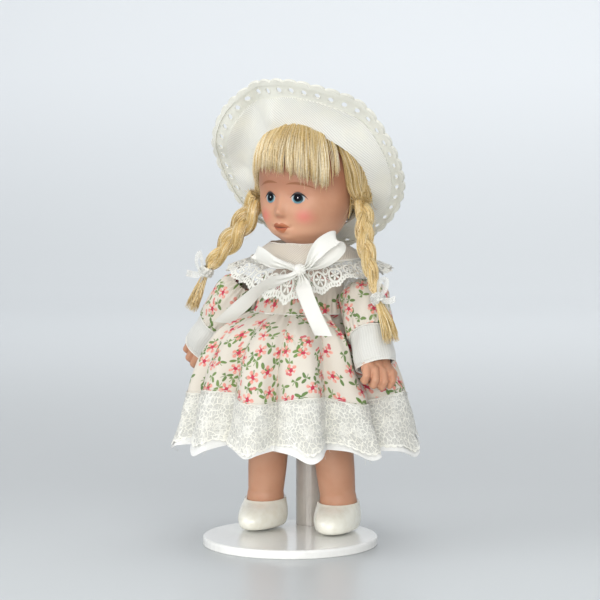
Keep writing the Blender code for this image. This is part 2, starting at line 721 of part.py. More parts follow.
def ribbon(collection, doll, name, points, across_start, across_end, gathered):
    """A flat ribbon along a smooth path. Its width turns from one direction to another on the way.

    It is gathered into the knot at the ends named in gathered: 0 is the start and 1 the end.
    """
    curve = spline([Vector(p) * MM for p in points], 4)
    start, end = Vector(across_start).normalized(), Vector(across_end).normalized()
    bm = bmesh.new()
    rows = []
    for i, point in enumerate(curve):
        share = i / (len(curve) - 1)
        pinch = min(smoothstep(-0.16, 0.3, abs(share - knot_end)) for knot_end in gathered)
        half = start.lerp(end, share).normalized() * RIBBON_WIDTH / 2 * pinch
        rows.append([bm.verts.new(point - half), bm.verts.new(point + half)])
    for a, b in zip(rows, rows[1:]):
        bm.faces.new((a[0], a[1], b[1], b[0]))
    mesh = bpy.data.meshes.new(name)
    bm.to_mesh(mesh)
    bm.free()
    obj = bpy.data.objects.new(name, mesh)
    collection.objects.link(obj)
    smooth(obj)
    wall = obj.modifiers.new("wall", "SOLIDIFY")
    wall.thickness = RIBBON_THICKNESS
    wall.offset = 0.0
    paint(obj, SATIN)
    place(obj, doll)
    return obj


def build_bow(collection, doll):
    knot = KNOT / MM
    bpy.ops.mesh.primitive_uv_sphere_add(segments=16, ring_count=10, radius=1.0, location=KNOT)
    obj = bpy.context.object
    obj.name = "bow_knot"
    obj.data.name = "bow_knot"
    obj.scale = (2.3 * MM, 1.7 * MM, 2.1 * MM)
    bpy.ops.object.transform_apply(location=False, rotation=False, scale=True)
    for owner in list(obj.users_collection):
        owner.objects.unlink(obj)
    collection.objects.link(obj)
    smooth(obj)
    paint(obj, SATIN)
    place(obj, doll)
    x, y, z = knot
    loop = [
        (x + 3.0, y + 0.1, z + 1.4), (x + 6.0, y - 0.4, z + 5.2), (x + 10.2, y + 1.4, z + 9.4),
        (x + 12.6, y + 3.2, z + 9.8), (x + 11.2, y + 3.8, z + 7.2), (x + 7.6, y + 2.6, z + 4.0),
        (x + 3.6, y + 1.4, z + 1.8),
    ]
    ribbon(collection, doll, "bow_loop_left", loop, (-0.6, -0.1, 0.7), (-0.6, -0.1, 0.7), (0, 1))
    loop = [
        (x - 3.0, y - 0.2, z + 0.8), (x - 8.8, y - 1.4, z + 3.8), (x - 14.8, y + 0.6, z + 6.6),
        (x - 17.2, y + 2.4, z + 6.6), (x - 14.8, y + 2.4, z + 5.0), (x - 8.8, y + 0.6, z + 3.0),
        (x - 3.4, y + 1.0, z + 1.6),
    ]
    ribbon(collection, doll, "bow_loop_right", loop, (0.35, -0.3, 0.8), (0.35, -0.3, 0.8), (0, 1))
    tail = [
        (x + 1.4, y - 1.0, z - 2.6), (x + 4.2, -15.4, 91.6), (x + 8.6, -18.6, 84.0), (x + 12.6, -19.2, 76.4),
    ]
    ribbon(collection, doll, "bow_tail_left", tail, (0.95, 0.15, 0.25), (0.95, 0.3, 0.2), (0,))
    tail = [(x - 2.2, y - 1.4, z - 2.0), (-3.8, -15.4, 92.8), (-11.8, -17.4, 85.8), (-19.4, -16.6, 79.6)]
    ribbon(collection, doll, "bow_tail_right", tail, (0.2, -0.35, 0.85), (0.4, -0.4, 0.8), (0,))


# ---------------------------------------------------------------- whole


def main():
    clear_scene()
    collection = make_collection("porcelain_doll")
    cutters = make_collection("cutters")
    stand = make_joint(collection, "stand_root", Vector((0, 0, 0)))
    doll = make_joint(collection, "height_slide", Vector((0, POST_Y, POST_TOP)))
    head = make_joint(collection, "neck_joint", NECK)
    hat = make_joint(collection, "hat_slide", HAT)
    build_stand(collection, stand, cutters)
    build_clip(collection, doll)
    build_torso(collection, doll)
    build_shoulder_plate(collection, doll)
    build_dress(collection, doll)
    build_collar(collection, doll)
    build_bow(collection, doll)
    build_head(collection, head)
    build_wig(collection, head)
    build_hat(collection, hat)
    for side, sign in (("left", 1), ("right", -1)):
        hip = Vector((sign * HIP.x, HIP.y, HIP.z))
        build_leg(collection, make_joint(collection, f"hip_{side}", hip), side)
        build_arm(collection, make_joint(collection, f"shoulder_{side}", SHOULDERS[side]), side)
        build_braid(collection, make_joint(collection, f"braid_root_{side}", BRAID_PIVOTS[side]), side)


main()
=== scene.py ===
"""Visual model of a small porcelain doll on its stand.

Bisque head, plaited wig, sun hat, floral dress and lace.

Lengths in the shape code are in millimetres and are scaled to metres when a mesh is made.
The doll faces -Y, its left side is +X, and +Z is up.
"""

import math

import bpy
import numpy as np
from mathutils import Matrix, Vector


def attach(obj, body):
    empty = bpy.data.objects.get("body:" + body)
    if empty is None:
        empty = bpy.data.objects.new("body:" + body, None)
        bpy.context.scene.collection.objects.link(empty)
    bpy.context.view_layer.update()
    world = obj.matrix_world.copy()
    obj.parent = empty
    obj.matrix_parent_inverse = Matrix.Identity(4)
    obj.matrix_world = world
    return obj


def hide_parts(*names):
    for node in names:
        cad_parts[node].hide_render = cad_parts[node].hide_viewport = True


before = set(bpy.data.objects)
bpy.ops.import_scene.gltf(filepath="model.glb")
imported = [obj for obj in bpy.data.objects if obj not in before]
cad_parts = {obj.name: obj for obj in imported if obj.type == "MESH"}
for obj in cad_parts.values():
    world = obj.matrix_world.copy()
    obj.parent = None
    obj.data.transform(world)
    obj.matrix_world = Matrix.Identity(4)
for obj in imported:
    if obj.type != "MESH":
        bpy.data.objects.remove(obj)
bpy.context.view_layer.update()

MM = 0.001
TURN = 2 * math.pi
SIDES = {"left": 1, "right": -1}


# ---------------------------------------------------------------- small tools


def curve(table, x):
    """Smooth interpolation in a table of rows (x, y), with rising x."""
    xs = np.array([row[0] for row in table], float)
    ys = np.array([row[1] for row in table], float)
    x = np.clip(x, xs[0], xs[-1])
    slopes = np.gradient(ys, xs)
    i = np.clip(np.searchsorted(xs, x, side="right") - 1, 0, len(xs) - 2)
    h = xs[i + 1] - xs[i]
    t = (x - xs[i]) / h
    low = (2 * t**3 - 3 * t**2 + 1) * ys[i] + (t**3 - 2 * t**2 + t) * h * slopes[i]
    high = (3 * t**2 - 2 * t**3) * ys[i + 1] + (t**3 - t**2) * h * slopes[i + 1]
    return low + high


def smoothstep(low, high, x):
    t = np.clip((x - low) / (high - low), 0, 1)
    return t * t * (3 - 2 * t)


def bump(x, centre, width):
    return np.exp(-(((x - centre) / width) ** 2))


def unit(v):
    return v / np.maximum(np.linalg.norm(v, axis=-1, keepdims=True), 1e-9)


def spline(points, count):
    """count points, evenly spaced along a smooth line through the given ones."""
    points = np.array(points, float)
    share = np.concatenate([[0], np.cumsum(np.linalg.norm(np.diff(points, axis=0), axis=1))])
    fine = np.linspace(0, share[-1], count)
    return np.stack([curve(list(zip(share, points[:, k])), fine) for k in range(3)], axis=1)


# ---------------------------------------------------------------- meshes


def build(name, points, faces, body, material, slot, uvs=None):
    """A piece that rides on a body and stands for the CAD node its slot is named after."""
    mesh = bpy.data.meshes.new(name)
    points = np.asarray(points, float).reshape(-1, 3) * MM
    faces = np.asarray(faces, np.int32)
    mesh.vertices.add(len(points))
    mesh.vertices.foreach_set("co", points.ravel())
    mesh.loops.add(faces.size)
    mesh.loops.foreach_set("vertex_index", faces.ravel())
    mesh.polygons.add(len(faces))
    mesh.polygons.foreach_set("loop_start", np.arange(0, faces.size, faces.shape[1]).astype(np.int32))
    mesh.polygons.foreach_set("use_smooth", np.ones(len(faces), bool))
    mesh.update(calc_edges=True)
    for layer_name, coords in (uvs or {}).items():
        layer = mesh.uv_layers.new(name=layer_name)
        layer.uv.foreach_set("vector", np.asarray(coords, float).ravel())
    mesh.materials.append(material)
    obj = bpy.data.objects.new(name, mesh)
    bpy.context.scene.collection.objects.link(obj)
    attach(obj, body)
    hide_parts(slot)
    return obj


def grid_faces(rows, cols, wrap=False, start=0):
    r = np.arange(rows - 1)[:, None]
    c = np.arange(cols if wrap else cols - 1)[None, :]
    after = (c + 1) % cols
    faces = np.stack([r * cols + c, r * cols + after, (r + 1) * cols + after, (r + 1) * cols + c], -1)
    return faces.reshape(-1, 4) + start


def grid_uv(uv):
    """Coordinates at each face corner, from a grid with one column more than the points when it wraps."""
    rows, cols = uv.shape[:2]
    return uv.reshape(-1, 2)[grid_faces(rows, cols).reshape(-1)]


def surface(name, points, body, material, slot, uv=None, wrap=False, extra=None):
    rows, cols = points.shape[:2]
    uvs = {}
    if uv is not None:
        uvs["flat"] = grid_uv(uv)
    for key, layer in (extra or {}).items():
        uvs[key] = grid_uv(layer)
    return build(name, points, grid_faces(rows, cols, wrap), body, material, slot, uvs)


def ring_uv(points, height, width=None):
    """Metric coordinates round a wrapped grid: each ring's length drawn to one width, and a height."""
    closed = np.concatenate([points, points[:, :1]], axis=1)
    step = np.linalg.norm(np.diff(closed, axis=1), axis=2)
    along = np.concatenate([np.zeros((len(points), 1)), np.cumsum(step, axis=1)], axis=1)
    total = along[:, -1:].copy()
    width = float(total.max()) if width is None else width
    u = along / total * width
    return np.stack([u, np.broadcast_to(height, u.shape)], axis=-1), width


def strip_uv(points):
    """Metric coordinates of an open grid: length along its rows, and width across them."""
    along = np.concatenate([
        [0], np.cumsum(np.linalg.norm(np.diff(points[:, points.shape[1] // 2], axis=0), axis=1))
    ])
    across = np.linspace(-0.5, 0.5, points.shape[1])
    width = np.linalg.norm(points[:, -1] - points[:, 0], axis=1).max()
    u, v = np.meshgrid(along, across * width, indexing="ij")
    return np.stack([u, v], axis=-1)


def thicken(obj, thickness, offset=-1.0):
    modifier = obj.modifiers.new("cloth", "SOLIDIFY")
    modifier.thickness = thickness * MM
    modifier.offset = offset
    split = obj.modifiers.new("crisp_rim", "EDGE_SPLIT")
    split.split_angle = math.radians(65)
    split.use_edge_sharp = False
    return obj


def frames(paths):
    """Directions along and across each path of an array (paths, steps, 3)."""
    along = unit(np.gradient(paths, axis=1))
    reference = np.where(np.abs(along[:, :1, 2:]) < 0.9, np.array([0, 0, 1.0]), np.array([1.0, 0, 0]))
    across = np.zeros_like(paths)
    across[:, 0] = unit(np.cross(along[:, 0], reference[:, 0]))
    for i in range(1, paths.shape[1]):
        step = across[:, i - 1]
        across[:, i] = unit(step - along[:, i] * (step * along[:, i]).sum(-1, keepdims=True))
    return along, across, np.cross(along, across)


def tubes(paths, radius, sides=3):
    """Points and faces of thin tubes along an array of paths (paths, steps, 3)."""
    paths = np.asarray(paths, float)
    count, steps = paths.shape[:2]
    _, across, other = frames(paths)
    radius = np.broadcast_to(radius, (count, steps))[..., None, None]
    turn = np.arange(sides) / sides * TURN
    ring = across[:, :, None] * np.cos(turn)[:, None] + other[:, :, None] * np.sin(turn)[:, None]
    points = paths[:, :, None] + ring * radius
    faces = grid_faces(steps, sides, wrap=True)
    faces = faces[None] + (np.arange(count) * steps * sides)[:, None, None]
    return points.reshape(-1, 3), faces.reshape(-1, 4)


def join(pieces):
    points, faces, start = [], [], 0
    for p, f in pieces:
        points.append(p.reshape(-1, 3))
        faces.append(f + start)
        start += len(points[-1])
    return np.concatenate(points), np.concatenate(faces)


# ---------------------------------------------------------------- materials


class Value:
    """A node output that adds and multiplies like a number."""

    def __init__(self, kit, socket):
        self.kit = kit
        self.socket = socket

    def __add__(self, other):
        return self.kit.math("ADD", self, other)

    def __radd__(self, other):
        return self.kit.math("ADD", self, other)

    def __sub__(self, other):
        return self.kit.math("SUBTRACT", self, other)

    def __rsub__(self, other):
        return self.kit.math("SUBTRACT", other, self)

    def __mul__(self, other):
        return self.kit.math("MULTIPLY", self, other)

    def __rmul__(self, other):
        return self.kit.math("MULTIPLY", self, other)

    def __truediv__(self, other):
        return self.kit.math("DIVIDE", self, other)

    def __pow__(self, other):
        return self.kit.math("POWER", self, other)

    def __abs__(self):
        return self.kit.math("ABSOLUTE", self)


class Kit:
    """A material on one Principled shader, with short calls for its nodes."""

    def __init__(self, name, colour, roughness, **settings):
        self.material = bpy.data.materials.new(name)
        self.material.use_nodes = True
        self.tree = self.material.node_tree
        self.shader = self.tree.nodes["Principled BSDF"]
        self.set("Base Color", (*colour, 1.0) if isinstance(colour, tuple) else colour)
        self.set("Roughness", roughness)
        for key, value in settings.items():
            self.set(key.replace("_", " "), value)

    def set(self, socket, value):
        self.link(value, self.shader.inputs[socket])

    def link(self, value, socket):
        if isinstance(value, Value):
            self.tree.links.new(value.socket, socket)
        else:
            socket.default_value = value

    def node(self, kind, **settings):
        node = self.tree.nodes.new(kind)
        for key, value in settings.items():
            setattr(node, key, value)
        return node

    def math(self, operation, *values):
        node = self.node("ShaderNodeMath", operation=operation)
        for value, socket in zip(values, node.inputs):
            self.link(value, socket)
        return Value(self, node.outputs[0])

    def smooth(self, value, low, high):
        node = self.node("ShaderNodeMapRange", interpolation_type="SMOOTHSTEP")
        self.link(value, node.inputs["Value"])
        self.link(low, node.inputs["From Min"])
        self.link(high, node.inputs["From Max"])
        return Value(self, node.outputs["Result"])

    def mix(self, share, a, b):
        node = self.node("ShaderNodeMix", data_type="RGBA")
        self.link(share, node.inputs[0])
        self.link(a if isinstance(a, Value) else (*a, 1.0), node.inputs[6])
        self.link(b if isinstance(b, Value) else (*b, 1.0), node.inputs[7])
        return Value(self, node.outputs[2])

    def split(self, value):
        node = self.node("ShaderNodeSeparateXYZ")
        self.link(value, node.inputs[0])
        return [Value(self, socket) for socket in node.outputs]

    def vector(self, x, y, z=0.0):
        node = self.node("ShaderNodeCombineXYZ")
        for value, socket in zip((x, y, z), node.inputs):
            self.link(value, socket)
        return Value(self, node.outputs[0])

    def uv(self, layer="flat"):
        node = self.node("ShaderNodeUVMap", uv_map=layer)
        return self.split(Value(self, node.outputs[0]))[:2]

    def place(self):
        """The point on the object, in millimetres."""
        node = self.node("ShaderNodeTexCoord")
        scale = self.node("ShaderNodeVectorMath", operation="SCALE")
        scale.inputs["Scale"].default_value = 1 / MM
        self.tree.links.new(node.outputs["Object"], scale.inputs[0])
        return Value(self, scale.outputs[0])

    def noise(self, at, scale, detail=2.0, distortion=0.0):
        node = self.node("ShaderNodeTexNoise")
        self.link(at, node.inputs["Vector"])
        node.inputs["Scale"].default_value = scale
        node.inputs["Detail"].default_value = detail
        node.inputs["Distortion"].default_value = distortion
        return Value(self, node.outputs["Fac"])

    def cells(self, at, scale, randomness=1.0):
        """Distance to the nearest cell centre, that cell's random colour, and its place."""
        node = self.node("ShaderNodeTexVoronoi", voronoi_dimensions="2D")
        self.link(at, node.inputs["Vector"])
        node.inputs["Scale"].default_value = scale
        node.inputs["Randomness"].default_value = randomness
        return [Value(self, node.outputs[key]) for key in ("Distance", "Color", "Position")]

    def relief(self, height, depth, strength=1.0):
        """Bumps the surface by height times depth, in millimetres."""
        node = self.node("ShaderNodeBump")
        self.link(height, node.inputs["Height"])
        node.inputs["Distance"].default_value = depth * MM
        node.inputs["Strength"].default_value = strength
        self.set("Normal", Value(self, node.outputs[0]))

    def wave(self, value, pitch):
        """A sine between 0 and 1, a pitch long."""
        return self.math("SINE", value * (TURN / pitch)) * 0.5 + 0.5

    def lines(self, value, pitch, share=0.5):
        """1 on stripes a pitch apart, 0 between them."""
        wave = self.math("SINE", value * (TURN / pitch))
        return self.smooth(wave, -share, share)

    def ellipse(self, x, y, at, size, soft=0.15):
        """1 inside an ellipse, 0 outside it."""
        far = self.math("SQRT", ((x - at[0]) / size[0]) ** 2.0 + ((y - at[1]) / size[1]) ** 2.0)
        return self.smooth(far, 1 + soft, 1 - soft)

    def arc(self, x, y, at, half, rise, thick, soft=0.4, lean=0.0):
        """A thin stroke curved like an eyebrow: half its width, its rise in the middle, its thickness."""
        t = (x - at[0]) / half
        line = (1.0 - t ** 2.0) * rise + at[1] + t * lean
        wide = self.math("MAXIMUM", (1.0 - t ** 2.0) * thick, 0.0001)
        inside = self.smooth(abs(y - line) / wide, 1 + soft, 1 - soft)
        return inside * self.smooth(abs(t), 1.0, 0.96)


def most(*values):
    """The strongest of several masks."""
    result = values[0]
    for value in values[1:]:
        result = result.kit.math("MAXIMUM", result, value)
    return result


SKIN = (0.570, 0.300, 0.190)
SKIN_DEEP = (0.530, 0.265, 0.160)
BLUSH = (0.66, 0.16, 0.14)


def bisque(kit):
    """Base colour of unglazed tinted porcelain."""
    at = kit.place()
    mottle = kit.noise(at, 0.12, 3.0)
    kit.relief(kit.noise(at, 6.0, 3.0), 0.02)
    return kit.mix(kit.smooth(mottle, 0.3, 0.7), SKIN, SKIN_DEEP)


def porcelain_material(name):
    kit = Kit(name, SKIN, 0.46, Subsurface_Weight=0.06, Subsurface_Scale=0.0006, Specular_IOR_Level=0.4)
    kit.set("Base Color", bisque(kit))
    return kit.material


# Distances from the middle of the head. The painted face sits a little to the doll's right.
EYES = {1: 5.3, -1: 5.9}
EYE_Z = -5.7
BROW_Z = -0.4
NOSE_X = -1.1
MOUTH = (-1.6, -15.9)


def face_material():
    """Hand-painted face on bisque. Coordinates are across and above the middle of the head."""
    kit = Kit(
        "face_paint", SKIN, 0.46, Subsurface_Weight=0.06, Subsurface_Scale=0.0006, Specular_IOR_Level=0.4
    )
    colour = bisque(kit)
    x, z = kit.uv("face")
    front = kit.uv("side")[0]
    # Cheeks, with a soft edge; then painted shade round the eyes, in their sockets, and under the nose.
    for side in (1, -1):
        far = kit.math("SQRT", ((x + 0.6 - side * 8.1) / 4.3) ** 2.0 + ((z + 12.2) / 4.0) ** 2.0)
        colour = kit.mix(kit.smooth(far, 1.1, 0.0) * 0.72 * front, colour, BLUSH)
        # Painted shade in the eye socket.
        shade = kit.ellipse(x, z, (side * EYES[side], EYE_Z + 0.7), (3.7, 2.6), 0.5) * 0.30 * front
        colour = kit.mix(shade, colour, (0.42, 0.17, 0.11))
    # Painted shade under the nose.
    colour = kit.mix(
        kit.ellipse(x, z, (NOSE_X, -12.2), (1.6, 0.5), 0.8) * 0.35 * front, colour, (0.40, 0.13, 0.08)
    )
    # Painted shade: the face darkens upward toward the fringe and the hat brim above it.
    colour = kit.mix(kit.smooth(z, -7.0, 1.0) * 0.80 * front, colour, (0.34, 0.145, 0.085))
    # Painted light: the chin and jaw are lightened toward the bottom.
    colour = kit.mix(kit.smooth(z, -11.0, -18.0) * 0.65, colour, (0.76, 0.43, 0.29))
    # Each eye: white, iris, pupil, light, upper lid and lashes.
    for side in (1, -1):
        ex = x - side * EYES[side]
        white = kit.ellipse(ex, z, (0.0, EYE_Z), (2.25, 1.70), 0.06) * front
        colour = kit.mix(white, colour, (0.36, 0.43, 0.45))
        iris = kit.ellipse(ex, z, (0.0, EYE_Z - 0.02), (1.72, 1.72), 0.06) * white
        low = kit.smooth(z - EYE_Z + ex * 0.4 * side, 0.3, -1.3)
        colour = kit.mix(iris, colour, kit.mix(low, (0.025, 0.05, 0.06), (0.10, 0.215, 0.25)))
        pupil = kit.ellipse(ex, z, (-0.05, EYE_Z + 0.34), (1.38, 1.42), 0.14) * front
        colour = kit.mix(pupil, colour, (0.004, 0.005, 0.008))
        # Painted highlight: a small pale glint on each pupil.
        glint = kit.ellipse(ex, z, (-0.05, EYE_Z + 0.35), (0.17, 0.24), 0.4) * front
        colour = kit.mix(glint, colour, (0.75, 0.80, 0.85))
        lid = kit.arc(ex, z, (0.25 * side, EYE_Z - 0.15), 3.15, 2.05, 0.50, lean=-0.32 * side)
        under = kit.arc(ex, z, (0.0, EYE_Z - 0.3), 2.3, -1.55, 0.10) * 0.5
        fold = kit.arc(ex, z, (0.0, EYE_Z + 1.25), 2.9, 1.35, 0.12) * 0.45
        colour = kit.mix(most(fold, under) * front, colour, (0.22, 0.07, 0.04))
        colour = kit.mix(lid * front, colour, (0.014, 0.010, 0.012))
        stroke = 0.80 + 0.20 * kit.lines(x + z * side, 0.55)
        brow = kit.arc(
            ex, z, (side * 0.8, BROW_Z - 0.9 - 0.2 * side), 4.9, 1.15, 0.48, lean=-0.75 * side
        ) * stroke
        colour = kit.mix(brow * 0.9 * front, colour, (0.235, 0.085, 0.03))
    # Lips: a bowed upper lip, a fuller lower lip and a dark line where they meet.
    mx = x - MOUTH[0]
    dip = 1.0 - kit.math("EXPONENT", (mx / 0.75) ** 2.0 * -1.0) * 0.34
    peak = (1.0 - (mx / 3.6) ** 2.0) * 1.85 * dip + MOUTH[1]
    upper = kit.smooth(z - peak, 0.10, -0.10) * kit.smooth(z, MOUTH[1] - 0.25, MOUTH[1] + 0.05) * front
    base = MOUTH[1] - (1.0 - (mx / 2.9) ** 2.0) * 2.15
    lower = kit.smooth(z - base, -0.12, 0.12) * kit.smooth(z, MOUTH[1] + 0.12, MOUTH[1] - 0.08) * front
    lower = lower * kit.smooth(abs(mx), 3.0, 2.6)
    upper = upper * kit.smooth(abs(mx), 3.6, 3.3)
    # Painted shade and light: the lower lip darkens toward the line under the upper lip, and the upper lip is
    # painted darker on the doll's right and lighter on its left.
    lip_shade = kit.smooth(z, MOUTH[1] - 1.7, MOUTH[1])
    colour = kit.mix(lower * 0.92, colour, kit.mix(lip_shade, (0.55, 0.17, 0.07), (0.33, 0.065, 0.022)))
    colour = kit.mix(
        upper * 0.92, colour, kit.mix(kit.smooth(mx, -3.0, 3.0), (0.33, 0.075, 0.025), (0.45, 0.15, 0.065))
    )
    seam = kit.arc(x, z, (MOUTH[0], MOUTH[1] + 0.2), 3.3, -0.35, 0.18) * front
    colour = kit.mix(seam * 0.8, colour, (0.10, 0.02, 0.012))
    kit.set("Base Color", colour)
    # Glazed eyes and slightly glossy lips on matte bisque.
    gloss = 0.0
    for side in (1, -1):
        gloss = kit.ellipse(x - side * EYES[side], z, (0.0, EYE_Z), (2.25, 1.70), 0.1) * front + gloss
    gloss = kit.math("MINIMUM", gloss, 1.0)
    kit.set("Roughness", 0.46 - gloss * 0.16 - most(upper, lower) * 0.10)
    kit.set("Specular IOR Level", 0.4 - gloss * 0.36)
    return kit.material


def paint_white_material():
    """Thick glossy cream paint on the shoes, thinner and yellower along their upper edge."""
    kit = Kit("shoe_paint", (0.90, 0.885, 0.82), 0.22, Coat_Weight=0.5, Coat_Roughness=0.08)
    at = kit.place()
    streak = kit.noise(at, 0.35, 3.0, 0.4)
    _, _, z = kit.split(at)
    edge = kit.smooth(z, 12.2, 14.0) * 0.5
    colour = kit.mix(kit.smooth(streak, 0.35, 0.75), (0.90, 0.89, 0.80), (0.84, 0.82, 0.71))
    kit.set("Base Color", kit.mix(edge, colour, (0.80, 0.74, 0.60)))
    kit.set("Roughness", 0.18 + kit.noise(at, 1.2, 2.0) * 0.12)
    kit.relief(kit.noise(at, 0.9, 3.0), 0.10)
    return kit.material


def plastic_material(name, light, dark):
    kit = Kit(name, light, 0.16, Coat_Weight=0.3, Coat_Roughness=0.05)
    at = kit.place()
    wear = kit.noise(at, 0.25, 4.0, 0.6)
    fine = kit.noise(at, 3.5, 3.0)
    kit.set("Base Color", kit.mix(kit.smooth(wear, 0.45, 0.8), light, dark))
    kit.set("Roughness", 0.12 + wear * 0.12 + kit.smooth(fine, 0.6, 0.8) * 0.06)
    kit.relief(kit.noise(at, 0.6, 2.0), 0.015)
    return kit.material


def wood_material():
    kit = Kit("turned_wood", (0.50, 0.34, 0.18), 0.6)
    at = kit.place()
    x, y, z = kit.split(at)
    rings = kit.noise(kit.vector(x * 3.0, y * 3.0, z * 0.4), 1.0, 4.0)
    kit.set("Base Color", kit.mix(rings, (0.58, 0.42, 0.24), (0.36, 0.22, 0.11)))
    kit.relief(rings, 0.05)
    return kit.material


def weave_height(kit, u, v, pitch):
    """Over-and-under threads of a plain weave."""
    a = kit.math("SINE", u * (TURN / pitch))
    b = kit.math("SINE", v * (TURN / pitch))
    return a * b * 0.5 + 0.5


def muslin_material(name, colour=(0.80, 0.78, 0.73), by_uv=False):
    """Plain woven cotton."""
    kit = Kit(name, colour, 0.88, Sheen_Weight=0.12, Sheen_Roughness=0.5)
    at = kit.place()
    if by_uv:
        u, v = kit.uv()
    else:
        x, y, v = kit.split(at)
        u = x + y * 0.6
    weave = weave_height(kit, u, v, 0.42)
    slub = kit.noise(kit.vector(u * 0.4, v * 3.0), 1.0, 2.0)
    dark = tuple(c * 0.88 for c in colour)
    kit.set("Base Color", kit.mix(kit.smooth(weave * 0.5 + slub * 0.5, 0.2, 0.8), dark, colour))
    kit.relief(weave * 0.7 + slub * 0.3, 0.05)
    return kit.material


def twill_material(name, angle_deg=42.0, colour=(0.80, 0.79, 0.72)):
    """Fine diagonal twill of the hat and the yoke."""
    kit = Kit(name, colour, 0.80, Sheen_Weight=0.2, Sheen_Roughness=0.4)
    u, v = kit.uv()
    c, s = math.cos(math.radians(angle_deg)), math.sin(math.radians(angle_deg))
    diagonal = u * c + v * s
    other = v * c - u * s
    rib = kit.wave(diagonal, 0.72)
    thread = kit.wave(other, 0.40)
    patch = kit.noise(kit.vector(u, v), 0.10, 3.0)
    dark = tuple(k * 0.80 for k in colour)
    shade = kit.mix(kit.smooth(rib, 0.0, 1.0), dark, colour)
    warm = (colour[0] * 0.99, colour[1] * 0.97, colour[2] * 0.90)
    kit.set("Base Color", kit.mix(kit.smooth(patch, 0.35, 0.75) * 0.6, shade, warm))
    kit.relief(rib * 0.8 + thread * 0.2, 0.09)
    return kit.material


def border_material():
    """Close satin stitching round the hat's edge and its eyelets."""
    kit = Kit("hat_border", (0.82, 0.80, 0.72), 0.62, Sheen_Weight=0.2, Sheen_Roughness=0.4)
    u, v = kit.uv()
    stitch = kit.wave(u, 0.38)
    fuzz = kit.noise(kit.vector(u, v), 1.1, 3.0)
    kit.set("Base Color", kit.mix(stitch * 0.6 + fuzz * 0.4, (0.67, 0.665, 0.59), (0.74, 0.74, 0.68)))
    kit.relief(stitch * 0.5 + fuzz * 0.5, 0.07)
    return kit.material


PINK = (0.72, 0.25, 0.20)
PINK_PALE = (0.78, 0.40, 0.32)
CRIMSON = (0.52, 0.035, 0.075)
GREEN = (0.062, 0.150, 0.018)
GREEN_PALE = (0.13, 0.235, 0.04)


def motif_axes(kit, at, scale, randomness, shift):
    """Turned coordinates about the nearest motif's middle, and two random numbers for it."""
    u, v = at
    moved = kit.vector(u + shift[0], v + shift[1])
    _, colour, middle = kit.cells(moved, 1 / scale, randomness)
    # Voronoi gives the cell's place in its own scaled space.
    mu, mv, _ = kit.split(middle)
    du = u + shift[0] - mu
    dv = v + shift[1] - mv
    r, g, b = kit.split(colour)
    turn = g * TURN
    c, s = kit.math("COSINE", turn), kit.math("SINE", turn)
    return du * c + dv * s, dv * c - du * s, r, b


def petals(kit, x, y, count, reach, long, wide, soft=0.12):
    """Leaves or petals round a middle: 1 inside, 0 outside."""
    far = kit.math("SQRT", x ** 2.0 + y ** 2.0)
    turn = kit.math("ARCTAN2", y, x) / (TURN / count)
    near = (turn - kit.math("FLOOR", turn + 0.5)) * (TURN / count)
    px = far * kit.math("COSINE", near) - reach
    py = far * kit.math("SINE", near)
    inside = kit.math("SQRT", (px / long) ** 2.0 + (py / wide) ** 2.0)
    return kit.smooth(inside, 1 + soft, 1 - soft), far


